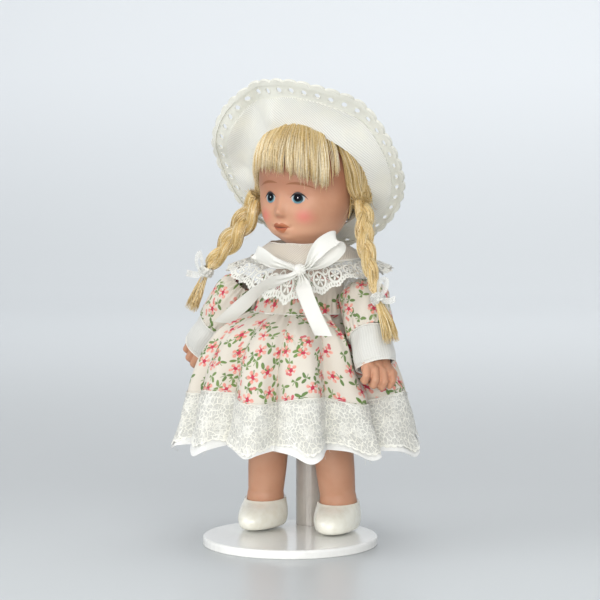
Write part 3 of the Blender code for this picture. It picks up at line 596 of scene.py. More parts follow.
def floral_material(name):
    """White cotton printed with small coral flowers and green sprigs."""
    kit = Kit(name, (0.84, 0.80, 0.74), 0.86, Sheen_Weight=0.12, Sheen_Roughness=0.5)
    u, v = kit.uv()
    weave = weave_height(kit, u, v, 0.46)
    ground = kit.mix(weave * 0.6, (0.70, 0.655, 0.575), (0.60, 0.545, 0.465))
    stain = kit.noise(kit.vector(u, v), 0.12, 2.0)
    colour = kit.mix(kit.smooth(stain, 0.4, 0.8) * 0.35, ground, (0.66, 0.59, 0.50))
    # Sprigs of almond leaves, with thin stems.
    for shift, size, least in (((0.0, 0.0), 6.0, 0.12), ((31.7, 17.3), 8.2, 0.45)):
        x, y, r, b = motif_axes(kit, (u, v), size, 0.75, shift)
        leaf, _ = petals(kit, x + kit.math("SINE", y * 2.0) * 0.15, y, 3, 1.45, 1.20, 0.60)
        leaf = leaf * kit.smooth(y - x * 0.4, 1.6, 1.4)
        stem = kit.smooth(abs(y + x * x * 0.12), 0.20, 0.11) * kit.smooth(abs(x + 0.4), 1.7, 1.5)
        chosen = kit.smooth(r, least, least + 0.02)
        tint = kit.mix(b, GREEN, GREEN_PALE)
        vein = kit.smooth(kit.noise(kit.vector(x, y), 2.2, 2.0), 0.45, 0.7) * 0.4
        colour = kit.mix(most(leaf, stem * 0.8) * chosen * 0.92, colour, kit.mix(vein, tint, GREEN_PALE))
    # Flowers of five petals round a crimson middle.
    x, y, r, _ = motif_axes(kit, (u, v), 7.4, 0.72, (11.3, 5.9))
    rough = kit.noise(kit.vector(u, v), 1.4, 2.0) - 0.5
    petal, _ = petals(kit, x + rough * 0.5, y - rough * 0.4, 5, 1.68, 0.74, 0.70, 0.10)
    tone = kit.mix(kit.smooth(kit.noise(kit.vector(u, v), 0.9, 1.0), 0.35, 0.65), PINK, PINK_PALE)
    chosen = kit.smooth(r, 0.06, 0.08)
    colour = kit.mix(petal * chosen * 0.93, colour, tone)
    vein, _ = petals(kit, x, y, 5, 0.80, 0.55, 0.22, 0.3)
    colour = kit.mix(vein * chosen * 0.85, colour, (0.70, 0.10, 0.13))
    heart = kit.ellipse(x + rough * 0.6, y + rough, (0.1, 0.0), (0.92, 0.66), 0.15)
    colour = kit.mix(heart * chosen, colour, CRIMSON)
    # Small buds between them.
    x, y, r, b = motif_axes(kit, (u, v), 5.6, 0.9, (3.1, 44.0))
    bud, _ = petals(kit, x, y, 2, 0.55, 0.75, 0.55)
    colour = kit.mix(bud * kit.smooth(r, 0.80, 0.82) * 0.9, colour, kit.mix(b, PINK, CRIMSON))
    kit.set("Base Color", colour)
    kit.relief(weave, 0.06)
    return kit.material


def net(kit, u, v, pitch, thread):
    """Threads of a diamond net."""
    a = kit.math("PINGPONG", u + v, pitch / 2)
    b = kit.math("PINGPONG", u - v, pitch / 2)
    return most(kit.smooth(a, thread, thread * 0.5), kit.smooth(b, thread, thread * 0.5))


def crackle(kit, at, scale, width):
    """Irregular net: the edges between random cells."""
    node = kit.node("ShaderNodeTexVoronoi", voronoi_dimensions="2D", feature="DISTANCE_TO_EDGE")
    kit.link(at, node.inputs["Vector"])
    node.inputs["Scale"].default_value = scale
    return kit.smooth(Value(kit, node.outputs["Distance"]), width, width * 0.35)


def hem_lace_material():
    """Wide cream net lace: an irregular net with denser worked sprays, over the white lining."""
    kit = Kit("hem_lace", (0.80, 0.77, 0.63), 0.85, Sheen_Weight=0.2, Sheen_Roughness=0.5)
    u, v = kit.uv()
    at = kit.vector(u, v)
    warp = kit.noise(at, 0.5, 2.0)
    bent = kit.vector(u + warp * 1.6, v - warp * 1.2)
    mesh = most(crackle(kit, bent, 0.55, 0.15), crackle(kit, bent, 1.15, 0.09) * 0.6)
    x, y, _, _ = motif_axes(kit, (u, v), 7.5, 0.55, (5.0, 2.0))
    flower, _ = petals(kit, x, y, 6, 1.5, 1.1, 0.6, 0.4)
    spray = flower * 0.55
    x2, y2, _, _ = motif_axes(kit, (u, v), 4.6, 0.6, (22.0, 9.0))
    scroll = kit.smooth(abs(kit.math("SQRT", x2 ** 2.0 + y2 ** 2.0) - 1.3), 0.34, 0.10) * 0.55
    top = kit.smooth(v, 16.8, 17.2)
    edge = kit.smooth(v, 1.1, 0.8)
    thread = most(mesh, spray, scroll, top, edge)
    scallop = abs(kit.math("SINE", u * (math.pi / 2.6))) * 0.6
    cut = kit.smooth(v, 0.62 - scallop, 0.72 - scallop)
    kit.set("Alpha", (0.66 + thread * 0.34) * cut)
    fuzz = kit.noise(at, 2.5, 2.0)
    patch = kit.noise(at, 0.16, 2.0)
    light = kit.mix(kit.smooth(patch, 0.35, 0.7), (0.83, 0.815, 0.73), (0.88, 0.875, 0.81))
    kit.set("Base Color", kit.mix(thread * 0.75 + fuzz * 0.25, (0.78, 0.78, 0.73), light))
    kit.relief(thread * 0.8 + fuzz * 0.2, 0.22)
    return kit.material


def collar_lace_material():
    """White ruffle of bobbin-style lace: a net with round motifs, and a scalloped looped edge."""
    kit = Kit("collar_lace", (0.86, 0.85, 0.81), 0.82, Sheen_Weight=0.2, Sheen_Roughness=0.5)
    u, v = kit.uv()
    repeat = 7.2
    x = u - (kit.math("FLOOR", u / repeat) + 0.5) * repeat
    mesh = net(kit, u, v, 0.90, 0.16)
    far = kit.math("SQRT", x ** 2.0 + (v - 5.3) ** 2.0)
    ring = kit.smooth(abs(far - 2.6), 0.50, 0.34)
    petal, _ = petals(kit, x, v - 5.3, 6, 1.25, 0.85, 0.42, 0.2)
    heart = kit.smooth(far, 0.50, 0.40)
    side = repeat / 2
    far2 = kit.math("SQRT", (abs(x) - side) ** 2.0 + (v - 2.6) ** 2.0)
    spray = kit.smooth(abs(far2 - 1.2), 0.38, 0.24)
    inner = kit.smooth(v, 0.9, 0.6)
    scallop = abs(kit.math("COSINE", u * (math.pi / repeat)))
    rim = 9.6 - scallop * 1.1 + abs(kit.math("SINE", u * (math.pi / 0.62 / 2))) * 0.35
    border = kit.smooth(v - rim, -1.9, -1.6)
    loops = kit.smooth(
        kit.math("SINE", u * (TURN / 1.03)), 0.35, 0.65
    ) * kit.smooth(abs(v - rim + 1.0), 0.45, 0.3)
    gap = kit.smooth(far, 2.2, 2.0) * (1.0 - most(petal, heart))
    worked = most(ring, petal, heart, spray, inner, border * (1.0 - loops))
    thread = most(worked, mesh * 0.85 * (1.0 - gap))
    cut = kit.smooth(v - rim, 0.05, -0.05)
    kit.set("Alpha", (0.10 + thread * 0.90) * cut)
    fuzz = kit.noise(kit.vector(u, v), 2.5, 2.0)
    kit.set("Base Color", kit.mix(thread * 0.7 + fuzz * 0.3, (0.60, 0.585, 0.52), (0.72, 0.72, 0.665)))
    kit.relief(thread * 0.8 + fuzz * 0.2, 0.16)
    return kit.material


def tie_material():
    """Sheer white trimming with a corded edge."""
    kit = Kit("tie_lace", (0.88, 0.88, 0.87), 0.7, Sheen_Weight=0.2, Sheen_Roughness=0.5)
    u, v = kit.uv()
    mesh = net(kit, u, v, 0.55, 0.11)
    edge = kit.smooth(abs(v), 0.95, 1.05)
    kit.set("Alpha", 0.45 + most(mesh, edge) * 0.5)
    kit.relief(most(mesh, edge), 0.08)
    kit.set("Base Color", kit.mix(mesh, (0.72, 0.72, 0.67), (0.80, 0.80, 0.76)))
    return kit.material


def satin_material():
    """White satin ribbon with a woven edge and fine crosswise threads."""
    kit = Kit("satin", (0.88, 0.88, 0.87), 0.30, Anisotropic=0.5, Sheen_Weight=0.15, Sheen_Roughness=0.3)
    u, v = kit.uv()
    thread = kit.wave(u, 0.32)
    edge = kit.smooth(abs(v), 2.75, 2.95)
    stitch = kit.lines(u, 0.75) * edge
    streak = kit.noise(kit.vector(u * 0.3, v * 3.0), 1.0, 2.0)
    kit.set("Base Color", kit.mix(edge * 0.5 + streak * 0.2, (0.75, 0.745, 0.70), (0.66, 0.65, 0.60)))
    kit.set("Roughness", 0.34 + edge * 0.3 + streak * 0.1)
    kit.relief(thread * 0.3 + stitch * 0.9 + edge * 0.5, 0.05)
    return kit.material


def rib_material():
    """Fine ribbed white knit of the undersleeves."""
    kit = Kit("ribbed_knit", (0.85, 0.84, 0.81), 0.85, Sheen_Weight=0.25, Sheen_Roughness=0.5)
    u, v = kit.uv()
    rib = kit.wave(u, 0.95)
    loop = kit.math("SINE", v * (TURN / 0.45) + rib * 2.0) * 0.5 + 0.5
    kit.set("Base Color", kit.mix(rib * 0.7 + loop * 0.3, (0.58, 0.575, 0.54), (0.64, 0.64, 0.605)))
    kit.relief(rib * 0.75 + loop * 0.25, 0.06)
    return kit.material


# The last tone is a painted highlight, used only for the pale strands laid over the fringe where it shines.
HAIR_TONES = [
    (0.720, 0.520, 0.215), (0.800, 0.630, 0.330), (0.600, 0.410, 0.150), (0.860, 0.730, 0.470),
    (0.760, 0.575, 0.270), (0.430, 0.270, 0.090), (0.930, 0.845, 0.640),
]


def hair_material(index):
    """Synthetic blond fibre. One plain colour each: the strands give the variation."""
    kit = Kit(
        f"hair_{index}", HAIR_TONES[index], 0.30, Specular_IOR_Level=0.8, Coat_Weight=0.35, Coat_Roughness=0.2
    )
    at = kit.place()
    kit.set("Roughness", 0.20 + kit.noise(at, 1.5, 2.0) * 0.16)
    kit.relief(kit.noise(at, 8.0, 1.0), 0.02)
    return kit.material


def thread_material():
    kit = Kit("sewing_thread", (0.74, 0.73, 0.68), 0.6)
    at = kit.place()
    twist = kit.noise(at, 9.0, 1.0)
    kit.set("Base Color", kit.mix(twist, (0.66, 0.645, 0.59), (0.74, 0.73, 0.68)))
    kit.relief(twist, 0.03)
    return kit.material


PORCELAIN = porcelain_material("bisque_porcelain")
FACE = face_material()
SHOE = paint_white_material()
PLASTIC = plastic_material("white_plastic", (0.88, 0.88, 0.855), (0.83, 0.83, 0.80))
# A darker copy of the white plastic: painted shade for the post and rod, which stand in the skirt's shade.
SHADED_POST_PLASTIC = plastic_material("post_plastic_painted_shade", (0.46, 0.43, 0.395), (0.42, 0.39, 0.36))
WOOD = wood_material()
MUSLIN = muslin_material("muslin")
LINING = muslin_material("lining_cotton", (0.86, 0.86, 0.835), by_uv=True)
TWILL = twill_material("hat_twill", 42.0, (0.79, 0.79, 0.745))
YOKE_TWILL = twill_material("yoke_twill", -40.0, (0.66, 0.615, 0.535))
BORDER = border_material()
FLORAL = floral_material("floral_cotton")
HEM_LACE = hem_lace_material()
COLLAR_LACE = collar_lace_material()
TIE_LACE = tie_material()
SATIN = satin_material()
KNIT = rib_material()
HAIR = [hair_material(i) for i in range(len(HAIR_TONES))]
THREAD = thread_material()


# ---------------------------------------------------------------- hard pieces kept from the CAD


def dress_node(name, material):
    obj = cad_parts[name]
    if not obj.data.materials:
        obj.data.materials.append(material)
    for i in range(len(obj.material_slots)):
        obj.material_slots[i].material = material


for node in ("stand_base", "waist_clip"):
    dress_node(node, PLASTIC)
# The post and rod take the darker, painted-shade copy of the plastic.
for node in ("stand_post", "stand_rod"):
    dress_node(node, SHADED_POST_PLASTIC)
dress_node("shoulder_plate", PORCELAIN)
dress_node("neck_peg", WOOD)


# ---------------------------------------------------------------- head

HEAD = np.array([0.5, 17.5, 128.0])
HEAD_TURN = math.radians(-11)
HEAD_SHAPE = [
    (-20.6, 9.0, 11.6, 7.0), (-18.6, 11.6, 14.4, 9.4), (-15.0, 14.0, 16.4, 12.4), (-10.0, 15.8, 17.4, 15.6),
    (-4.0, 16.7, 17.4, 18.0), (3.0, 16.9, 17.9, 19.0), (10.0, 15.4, 16.6, 18.0), (16.0, 11.8, 12.8, 13.8),
    (20.0, 6.6, 7.4, 7.8), (21.4, 2.6, 3.0, 3.0),
]
NECK = np.array([0.5, 16.0, 101.0])


def turned(local):
    """From the head's own axes to the doll's."""
    c, s = math.cos(HEAD_TURN), math.sin(HEAD_TURN)
    x, y, z = local[..., 0], local[..., 1], local[..., 2]
    return np.stack([x * c - y * s, x * s + y * c, z], axis=-1) + HEAD


def skull(angle, z, grow=0.0):
    """A point of the head in its own axes. Angle 0 is the doll's left."""
    angle, z, grow = np.broadcast_arrays(angle, z, grow)
    half_width = curve([(row[0], row[1]) for row in HEAD_SHAPE], z)
    front = curve([(row[0], row[2]) for row in HEAD_SHAPE], z)
    back = curve([(row[0], row[3]) for row in HEAD_SHAPE], z)
    reach = np.where(np.sin(angle) > 0, back, front)
    local = np.stack([half_width * np.cos(angle), reach * np.sin(angle), z], axis=-1)
    return local * (1 + grow / 18.0)[..., None]


def features(x, z):
    """How far the face stands out from the plain egg shape, toward the front."""
    out = np.zeros_like(x)
    for side in (1, -1):
        ex = x - side * EYES[side]
        out -= 1.15 * bump(ex, 0, 3.3) * bump(z, EYE_Z + 0.1, 2.3)
        out += 0.75 * bump(ex, 0, 2.0) * bump(z, EYE_Z, 1.5)
        out += 0.22 * bump(ex, 0, 2.6) * bump(z, EYE_Z + 1.75, 0.55)
        out += 1.0 * bump(x, side * 9.0, 4.6) * bump(z, -12.2, 4.2)
        out += 0.62 * bump(x, NOSE_X + side * 1.3, 0.85) * bump(z, -11.4, 0.9)
        out -= 0.35 * bump(x, MOUTH[0] + side * 3.8, 0.9) * bump(z, -15.9, 0.9)
    out += 0.95 * bump(x, NOSE_X * 0.6, 1.9) * bump(z, -7.8, 3.4)
    out += 1.95 * bump(x, NOSE_X, 1.7) * bump(z, -10.5, 1.6)
    out += 0.25 * bump(z, 1.0, 2.5) * bump(x, 0, 8.0)
    mx, mz = x - MOUTH[0], z - MOUTH[1]
    out += 0.75 * bump(mx, 0, 3.0) * bump(mz, -0.2, 2.4)
    out += 0.42 * bump(mx, 0, 2.2) * bump(mz, 0.95, 0.65)
    out += 0.55 * bump(mx, 0, 1.8) * bump(mz, -1.1, 0.75)
    out -= 0.40 * bump(mx, 0, 2.4) * bump(mz, 0.0, 0.28)
    out -= 0.22 * bump(mx, 0, 0.45) * bump(mz, 2.3, 0.8)
    out -= 0.55 * bump(mx, 0, 2.4) * bump(mz, -2.7, 0.8)
    out += 0.70 * bump(x, 0, 3.0) * bump(z, -20.2, 1.5)
    return out


def build_head():
    # Columns are closer together on the face than on the back of the head.
    share = np.arange(320) / 320
    angle = share * TURN - math.pi / 2
    angle = angle - 0.62 * np.sin(angle + math.pi / 2)
    heights = np.concatenate([np.linspace(-20.6, 3.0, 200), np.linspace(3.0, 21.4, 40)[1:]])
    a, z = np.meshgrid(angle, heights)
    local = skull(a, z)
    facing = np.clip(-np.sin(a), 0, 1)
    shaped = local.copy()
    shaped[..., 1] -= features(local[..., 0], local[..., 2]) * smoothstep(0.05, 0.5, facing)
    # Chin and jaw close smoothly onto the neck.
    neck = []
    base = shaped[0]
    ring = np.stack([6.1 * np.cos(angle), 6.1 * np.sin(angle), np.zeros_like(angle)], axis=-1)
    tilt = math.cos(-HEAD_TURN), math.sin(-HEAD_TURN)
    offset = np.array([NECK[0] - HEAD[0], NECK[1] - HEAD[1], 0.0])
    offset = np.array([
        offset[0] * tilt[0] - offset[1] * tilt[1], offset[0] * tilt[1] + offset[1] * tilt[0], 0.0
    ])
    for t, height in (
        (0.0, -27.0), (0.0, -26.6), (0.02, -24.6), (0.10, -22.9), (0.36, -21.9), (0.72, -21.25)
    ):
        level = offset + ring + np.array([0, 0, height])
        if height == -27.0:
            level = offset + ring * 0.93 + np.array([0, 0, height])
        target = base.copy()
        target[:, 2] = height
        neck.append(level * (1 - t) + target * t)
    rows = np.concatenate([np.stack(neck), shaped])
    crown = rows[-1].mean(axis=0) + np.array([0, 0, 0.25])
    rows = np.concatenate([
        rows, (crown + (rows[-1] - crown) * 0.5)[None], (crown + (rows[-1] - crown) * 0.02)[None]
    ])
    points = turned(rows)
    closed = np.concatenate([rows, rows[:, :1]], axis=1)
    facing = np.clip(-closed[..., 1] / 4.0, 0, 1)
    face_uv = closed[..., [0, 2]]
    side_uv = np.stack([facing, np.zeros_like(facing)], axis=-1)
    surface("head_bisque", points, "head", FACE, "head", uv=face_uv, wrap=True,
            extra={"face": face_uv, "side": side_uv})


build_head()


# ---------------------------------------------------------------- hair

HAIR_TOP = 20.6
ROOTS = {"left": (math.radians(-3.0), -8.4, 5.4), "right": (math.radians(-167.5), -7.5, 2.4)}
BRAIDS = {
    "left": [
        (22.6, 11.4, 120.9), (24.0, 10.0, 118.0), (25.6, 5.2, 110.0), (28.9, 0.4, 100.0), (32.8, -3.4, 89.7)
    ],
    "right": [
        (-17.6, 16.9, 122.0), (-19.2, 16.6, 118.8), (-24.4, 15.4, 110.5), (-30.6, 14.6, 102.4),
        (-36.2, 14.2, 96.1)
    ],
}
TASSELS = {
    "left": [(32.8, -3.4, 89.7), (34.0, -4.6, 87.0), (37.4, -7.4, 81.0), (40.4, -10.4, 74.0)],
    "right": [(-36.2, 14.2, 96.1), (-37.4, 14.1, 93.4), (-40.2, 14.0, 87.0), (-43.0, 13.8, 80.5)],
}
BRAID_RADIUS = {"left": 3.0, "right": 4.3}
OUTWARD = {"left": np.array([0.55, -0.83, 0.0]), "right": np.array([-0.45, -0.89, 0.0])}


def hair_pieces(name, paths, tones, radius, body, slot, sides=3):
    """Makes one mesh per hair colour from an array of strand paths."""
    made = []
    for tone in sorted(set(int(t) for t in tones)):
        chosen = tones == tone
        size = radius[chosen] if isinstance(radius, np.ndarray) else radius
        points, faces = tubes(paths[chosen], size, sides)
        made.append(build(f"{name}_{tone}", points, faces, body, HAIR[tone], slot))
    return made


def pick_tones(count, rng, weights):
    weights = np.array(weights, float)
    return rng.choice(len(weights), size=count, p=weights / weights.sum())


def taper(steps, radius, tip=0.25, at=0.8):
    t = np.linspace(0, 1, steps)
    return radius * (1 - (1 - tip) * smoothstep(at, 1.0, t))


def fringe_end(angle):
    """Height where the fringe is cut, at an angle in degrees from the middle of the face, left positive."""
    table = [(-80, -2.0), (-62, 2.6), (-40, 4.9), (-20, 5.1), (0, 4.4), (15, 3.4),
             (30, 1.6), (42, 0.4), (54, -0.2),
             (64, 3.0), (80, 2.0)]
    return curve(table, angle)


def build_fringe():
    rng = np.random.default_rng(3)
    count, steps = 1900, 18
    # Strands fall in soft locks: several share a bend and a length.
    spread = rng.uniform(-78, 66, count)
    # A gap over the left temple, where the fringe has parted.
    gap = (np.abs(spread - 58) < 3.4) & (rng.random(count) < 0.93)
    spread = np.where(gap, spread - 8.0, spread)
    lock = np.floor(spread / 5.5)
    lock_shift = (np.sin(lock * 12.9898) * 43758.5453) % 1.0
    t = np.linspace(0, 1, steps)[None, :]
    end = fringe_end(spread) + (lock_shift - 0.5) * 1.2 + rng.normal(0, 0.75, count)
    end = np.where(rng.random(count) < 0.10, end - rng.uniform(0.4, 2.4, count), end)
    top = HAIR_TOP - 0.5 - rng.uniform(0, 2.0, count)
    height = top[:, None] + (end - top)[:, None] * t
    lean = (lock_shift - 0.5) * 5.0 + rng.normal(0, 1.2, count)
    middle = (lock + 0.5) * 5.5
    pull = (middle - spread) * 0.35
    angle = spread[:, None] + lean[:, None] * t**1.5 + pull[:, None] * smoothstep(0.3, 1.0, t)
    angle = angle + rng.normal(0, 0.5, (count, 1)) * np.sin(t * rng.uniform(2, 5, (count, 1)))
    layer = rng.uniform(0, 1, count)
    grow = 1.2 + layer[:, None] * 1.1 + 0.35 * np.sin(np.pi * t) + 0.25 * lock_shift[:, None]
    grow = grow - 0.75 * smoothstep(0.55, 1.0, t) * (1 - layer[:, None] * 0.6)
    local = skull(np.radians(angle - 90), height, grow)
    paths = turned(local)
    tones = pick_tones(count, rng, (3, 3.0, 2.2, 2.4, 2.4, 0.9))
    tones = np.where((layer < 0.18) & (tones == 3), 2, tones)
    radius = np.tile(taper(steps, 0.095, 0.2), (count, 1)) * rng.uniform(0.7, 1.2, (count, 1))
    hair_pieces("fringe", paths, tones, radius, "head", "wig")
    # Painted highlight: pale strands laid over the lower half of the fringe, standing in for the band where
    # it shines.
    picked = rng.choice(count, 620, replace=False)
    glint = skull(np.radians(angle[picked] - 90), height[picked], grow[picked] + 0.14)
    begin = rng.integers(5, 9, len(picked))
    columns = np.linspace(0, 1, 10)[None, :] * (steps - 1 - begin[:, None]) + begin[:, None]
    low = np.floor(columns).astype(int)
    part = (columns - low)[..., None]
    high = np.minimum(low + 1, steps - 1)
    row = np.arange(len(picked))[:, None]
    shine = turned(glint[row, low] * (1 - part) + glint[row, high] * part)
    width = np.tile(
        np.array([0.03, 0.07, 0.09, 0.095, 0.095, 0.09, 0.085, 0.075, 0.05, 0.02]), (len(picked), 1)
    )
    hair_pieces("fringe_shine", shine, rng.choice([3, 6], len(picked), p=(0.35, 0.65)), width, "head", "wig")


def build_side_hair():
    rng = np.random.default_rng(5)
    steps = 22
    t = np.linspace(0, 1, steps)[None, :]
    for side in SIDES:
        count = 1500
        root_angle, root_height, root_grow = ROOTS[side]
        # From the part at the back of the head forward to just above the ear.
        start = rng.uniform(0, 1, count)
        front_limit = -17.0 if side == "left" else 194.0
        back_limit = 92.0
        begin = np.radians(front_limit + (back_limit - front_limit) * start)
        root = root_angle if side == "left" else root_angle + TURN
        # Lower strands start lower down the part, so that the nape is covered too.
        top = HAIR_TOP - 0.4 - rng.uniform(0, 1, count) ** 0.7 * 33.0 * smoothstep(0.80, 1.0, start)
        top = top - rng.uniform(0, 1.5, count)
        ease = t ** rng.uniform(1.3, 2.6, (count, 1))
        angle = begin[:, None] + (root - begin)[:, None] * (ease * 0.55 + 0.45 * smoothstep(0.25, 1.0, t))
        sag = (
            rng.uniform(-1.0, 5.0, (count, 1)) * start[:, None] * np.sin(np.pi * t)
            * smoothstep(-2, 8, top)[:, None]
        )
        height = (
            top[:, None] + (root_height - top)[:, None] * t ** rng.uniform(0.85, 1.15, (count, 1)) - sag * 0.9
        )
        layer = rng.uniform(0, 1, count)[:, None]
        grow = 1.1 + layer * 1.2 + (root_grow - 2.0) * smoothstep(0.7, 1.0, t) + 0.4 * np.sin(np.pi * t)
        if side == "left":
            grow = grow + 4.8 * (layer - 0.2) * smoothstep(16, 1, height) * (
                1 - smoothstep(30, 75, np.degrees(angle))
            )
        local = skull(angle, height, grow)
        # The ends gather into the root of the plait.
        paths = turned(local)
        anchor = np.array(BRAIDS[side][0])
        bundle = anchor + rng.normal(0, 1.35, (count, 3))
        close = smoothstep(0.80, 1.0, t)[..., None]
        paths = paths * (1 - close) + bundle[:, None, :] * close
        tones = pick_tones(count, rng, (3, 2.6, 2.6, 1.4, 2.2, 1.6))
        radius = np.tile(taper(steps, 0.115, 0.6, 0.9), (count, 1)) * rng.uniform(0.8, 1.2, (count, 1))
        hair_pieces(f"side_hair_{side}", paths, tones, radius, "head", "wig")


def build_wig_cap():
    """The woven cap that the hair is sewn to, just inside the strands."""
    angle = np.arange(96) / 96 * TURN
    shares = np.linspace(0, 1, 22)
    front = np.cos(angle + math.pi / 2)
    line = -13.2 + 24.0 * smoothstep(-0.30, 0.30, front)
    a, s = np.meshgrid(angle, shares)
    height = line[None, :] + (21.0 - line[None, :]) * s
    points = turned(skull(a, height, 0.6))
    crown = points[-1].mean(axis=0) + np.array([0, 0, 0.2])
    points = np.concatenate([
        points, (crown + (points[-1] - crown) * 0.3)[None], (crown + (points[-1] - crown) * 0.02)[None]
    ])
    obj = surface("wig_cap", points, "head", HAIR[2], "wig", wrap=True)
    thicken(obj, 0.3)


def build_stray_hair():
    rng = np.random.default_rng(21)
    paths = []
    steps = 20
    t = np.linspace(0, 1, steps)
    for _ in range(9):
        a0 = rng.uniform(-14, 12)
        angle = a0 + rng.uniform(-8, 12) * t + 5 * np.sin(t * rng.uniform(2, 5))
        height = rng.uniform(-1, 6) + (rng.uniform(-17, -7)) * t
        grow = 2.2 + 1.2 * np.sin(np.pi * t) + rng.uniform(0, 0.8)
        paths.append(turned(skull(np.radians(angle), height, grow)))
    for _ in range(16):
        a0 = rng.uniform(-175, -120)
        angle = a0 + rng.uniform(-10, 10) * t
        height = rng.uniform(-2, 6) + rng.uniform(-9, -4) * t
        grow = 1.6 + 2.2 * t * rng.uniform(0.2, 1)
        paths.append(turned(skull(np.radians(angle), height, grow)))
    paths = np.array(paths)
    tones = pick_tones(len(paths), rng, (1, 2, 0, 3, 1, 0))
    hair_pieces("stray_hair", paths, tones, 0.03, "head", "wig")


def braid_radius(side, share):
    root = 0.90 + 0.10 * smoothstep(0.0, 0.20, share)
    tail = 1.0 - 0.42 * smoothstep(0.5, 1.0, share)
    return BRAID_RADIUS[side] * root * tail


def build_braid(side):
    rng = np.random.default_rng(31 if side == "left" else 32)
    steps = 110
    line = spline(BRAIDS[side], steps)
    share = np.linspace(0, 1, steps)
    along = unit(np.gradient(line, axis=0))
    across = unit(np.cross(along, OUTWARD[side]))
    outward = np.cross(across, along)
    radius = braid_radius(side, share)
    length = np.linalg.norm(np.diff(line, axis=0), axis=1).sum()
    period = 22.0 if side == "left" else 27.0
    body = f"braid_{side}"
    strands, tones, sizes, cores = [], [], [], []
    for k in range(3):
        phase = TURN * (share * length / period + k / 3) + 0.7
        shift = (
            across * (0.50 * radius * np.sin(phase))[:, None]
            + outward * (0.34 * radius * np.sin(2 * phase))[:, None]
        )
        middle = line + shift
        turn_along = unit(np.gradient(middle, axis=0))
        side_way = unit(np.cross(turn_along, outward))
        up_way = np.cross(side_way, turn_along)
        pinch = 1 - 0.75 * smoothstep(0.93, 1.0, share)
        wide = 0.60 * radius * pinch
        deep = 0.46 * radius * pinch
        ring = np.arange(14) / 14 * TURN
        core = middle[:, None] + 0.86 * (
            side_way[:, None] * (wide[:, None] * np.cos(ring))[..., None]
            + up_way[:, None] * (deep[:, None] * np.sin(ring))[..., None]
        )
        cores.append((core, grid_faces(steps, 14, wrap=True)))
        count = 64
        where = rng.uniform(0, TURN, count)
        depth = rng.uniform(0.80, 1.02, count)
        drift = rng.normal(0, 0.35, count)
        for i in range(count):
            a = where[i] + drift[i] * np.sin(share * 9 + i) + share * 1.2
            path = (
                middle + side_way * (wide * depth[i] * np.cos(a))[:, None]
                + up_way * (deep * depth[i] * np.sin(a))[:, None]
            )
            strands.append(path)
            tones.append(rng.choice(6, p=(0.22, 0.24, 0.16, 0.18, 0.15, 0.05)))
            sizes.append(rng.uniform(0.09, 0.15))
    points, faces = join(cores)
    build(f"braid_core_{side}", points, faces, body, HAIR[2], f"braid_{side}")
    paths = np.array(strands)
    radii = np.array(sizes)[:, None] * np.ones((1, steps))
    hair_pieces(f"braid_strands_{side}", paths, np.array(tones), radii, body, f"braid_{side}")
    # A few hairs that have come out of the plait.
    loose = []
    for i in range(14):
        a, b = sorted(rng.uniform(0.05, 0.95, 2))
        pick = np.linspace(a, min(b, a + 0.3), 24)
        base = np.stack([np.interp(pick, share, line[:, j]) for j in range(3)], axis=1)
        puff = np.sin(np.linspace(0, np.pi, 24)) ** 0.7 * rng.uniform(0.3, 1.6)
        way = across[50] * rng.choice((-1, 1)) + outward[50] * rng.uniform(-0.2, 0.8)
        loose.append(base + unit(way)[None] * (np.interp(pick, share, radius) * 0.9 + puff)[:, None])
    hair_pieces(f"braid_loose_{side}", np.array(loose), pick_tones(14, rng, (1, 2, 0, 2, 1, 0)), 0.045, body,
                f"braid_{side}")
    build_tassel(side, rng)
    build_tie(side)


def build_tassel(side, rng):
    steps, count = 16, 210
    line = spline(TASSELS[side], steps)
    along = unit(np.gradient(line, axis=0))
    across = unit(np.cross(along, OUTWARD[side]))
    outward = np.cross(across, along)
    t = np.linspace(0, 1, steps)
    fan = curve([(0, 1.3), (0.25, 1.4), (0.6, 2.3), (1.0, 3.0)], t)
    paths = []
    for _ in range(count):
        turn, depth = rng.uniform(0, TURN), math.sqrt(rng.uniform(0, 1))
        reach = rng.uniform(0.80, 1.0)
        points = np.stack([np.interp(t * reach, t, line[:, j]) for j in range(3)], axis=1)
        bend = rng.normal(0, 0.5) * t**2
        a = turn + bend
        points = points + (
            across * (fan * depth * np.cos(a))[:, None]
            + outward * (0.75 * fan * depth * np.sin(a))[:, None]
        )
        paths.append(points)
    tones = pick_tones(count, rng, (3, 2.6, 1.8, 2.2, 2.2, 0.8))
    radius = np.tile(taper(steps, 0.13, 0.4, 0.7), (count, 1))
    hair_pieces(f"tassel_{side}", np.array(paths), tones, radius, f"braid_{side}", f"braid_{side}")


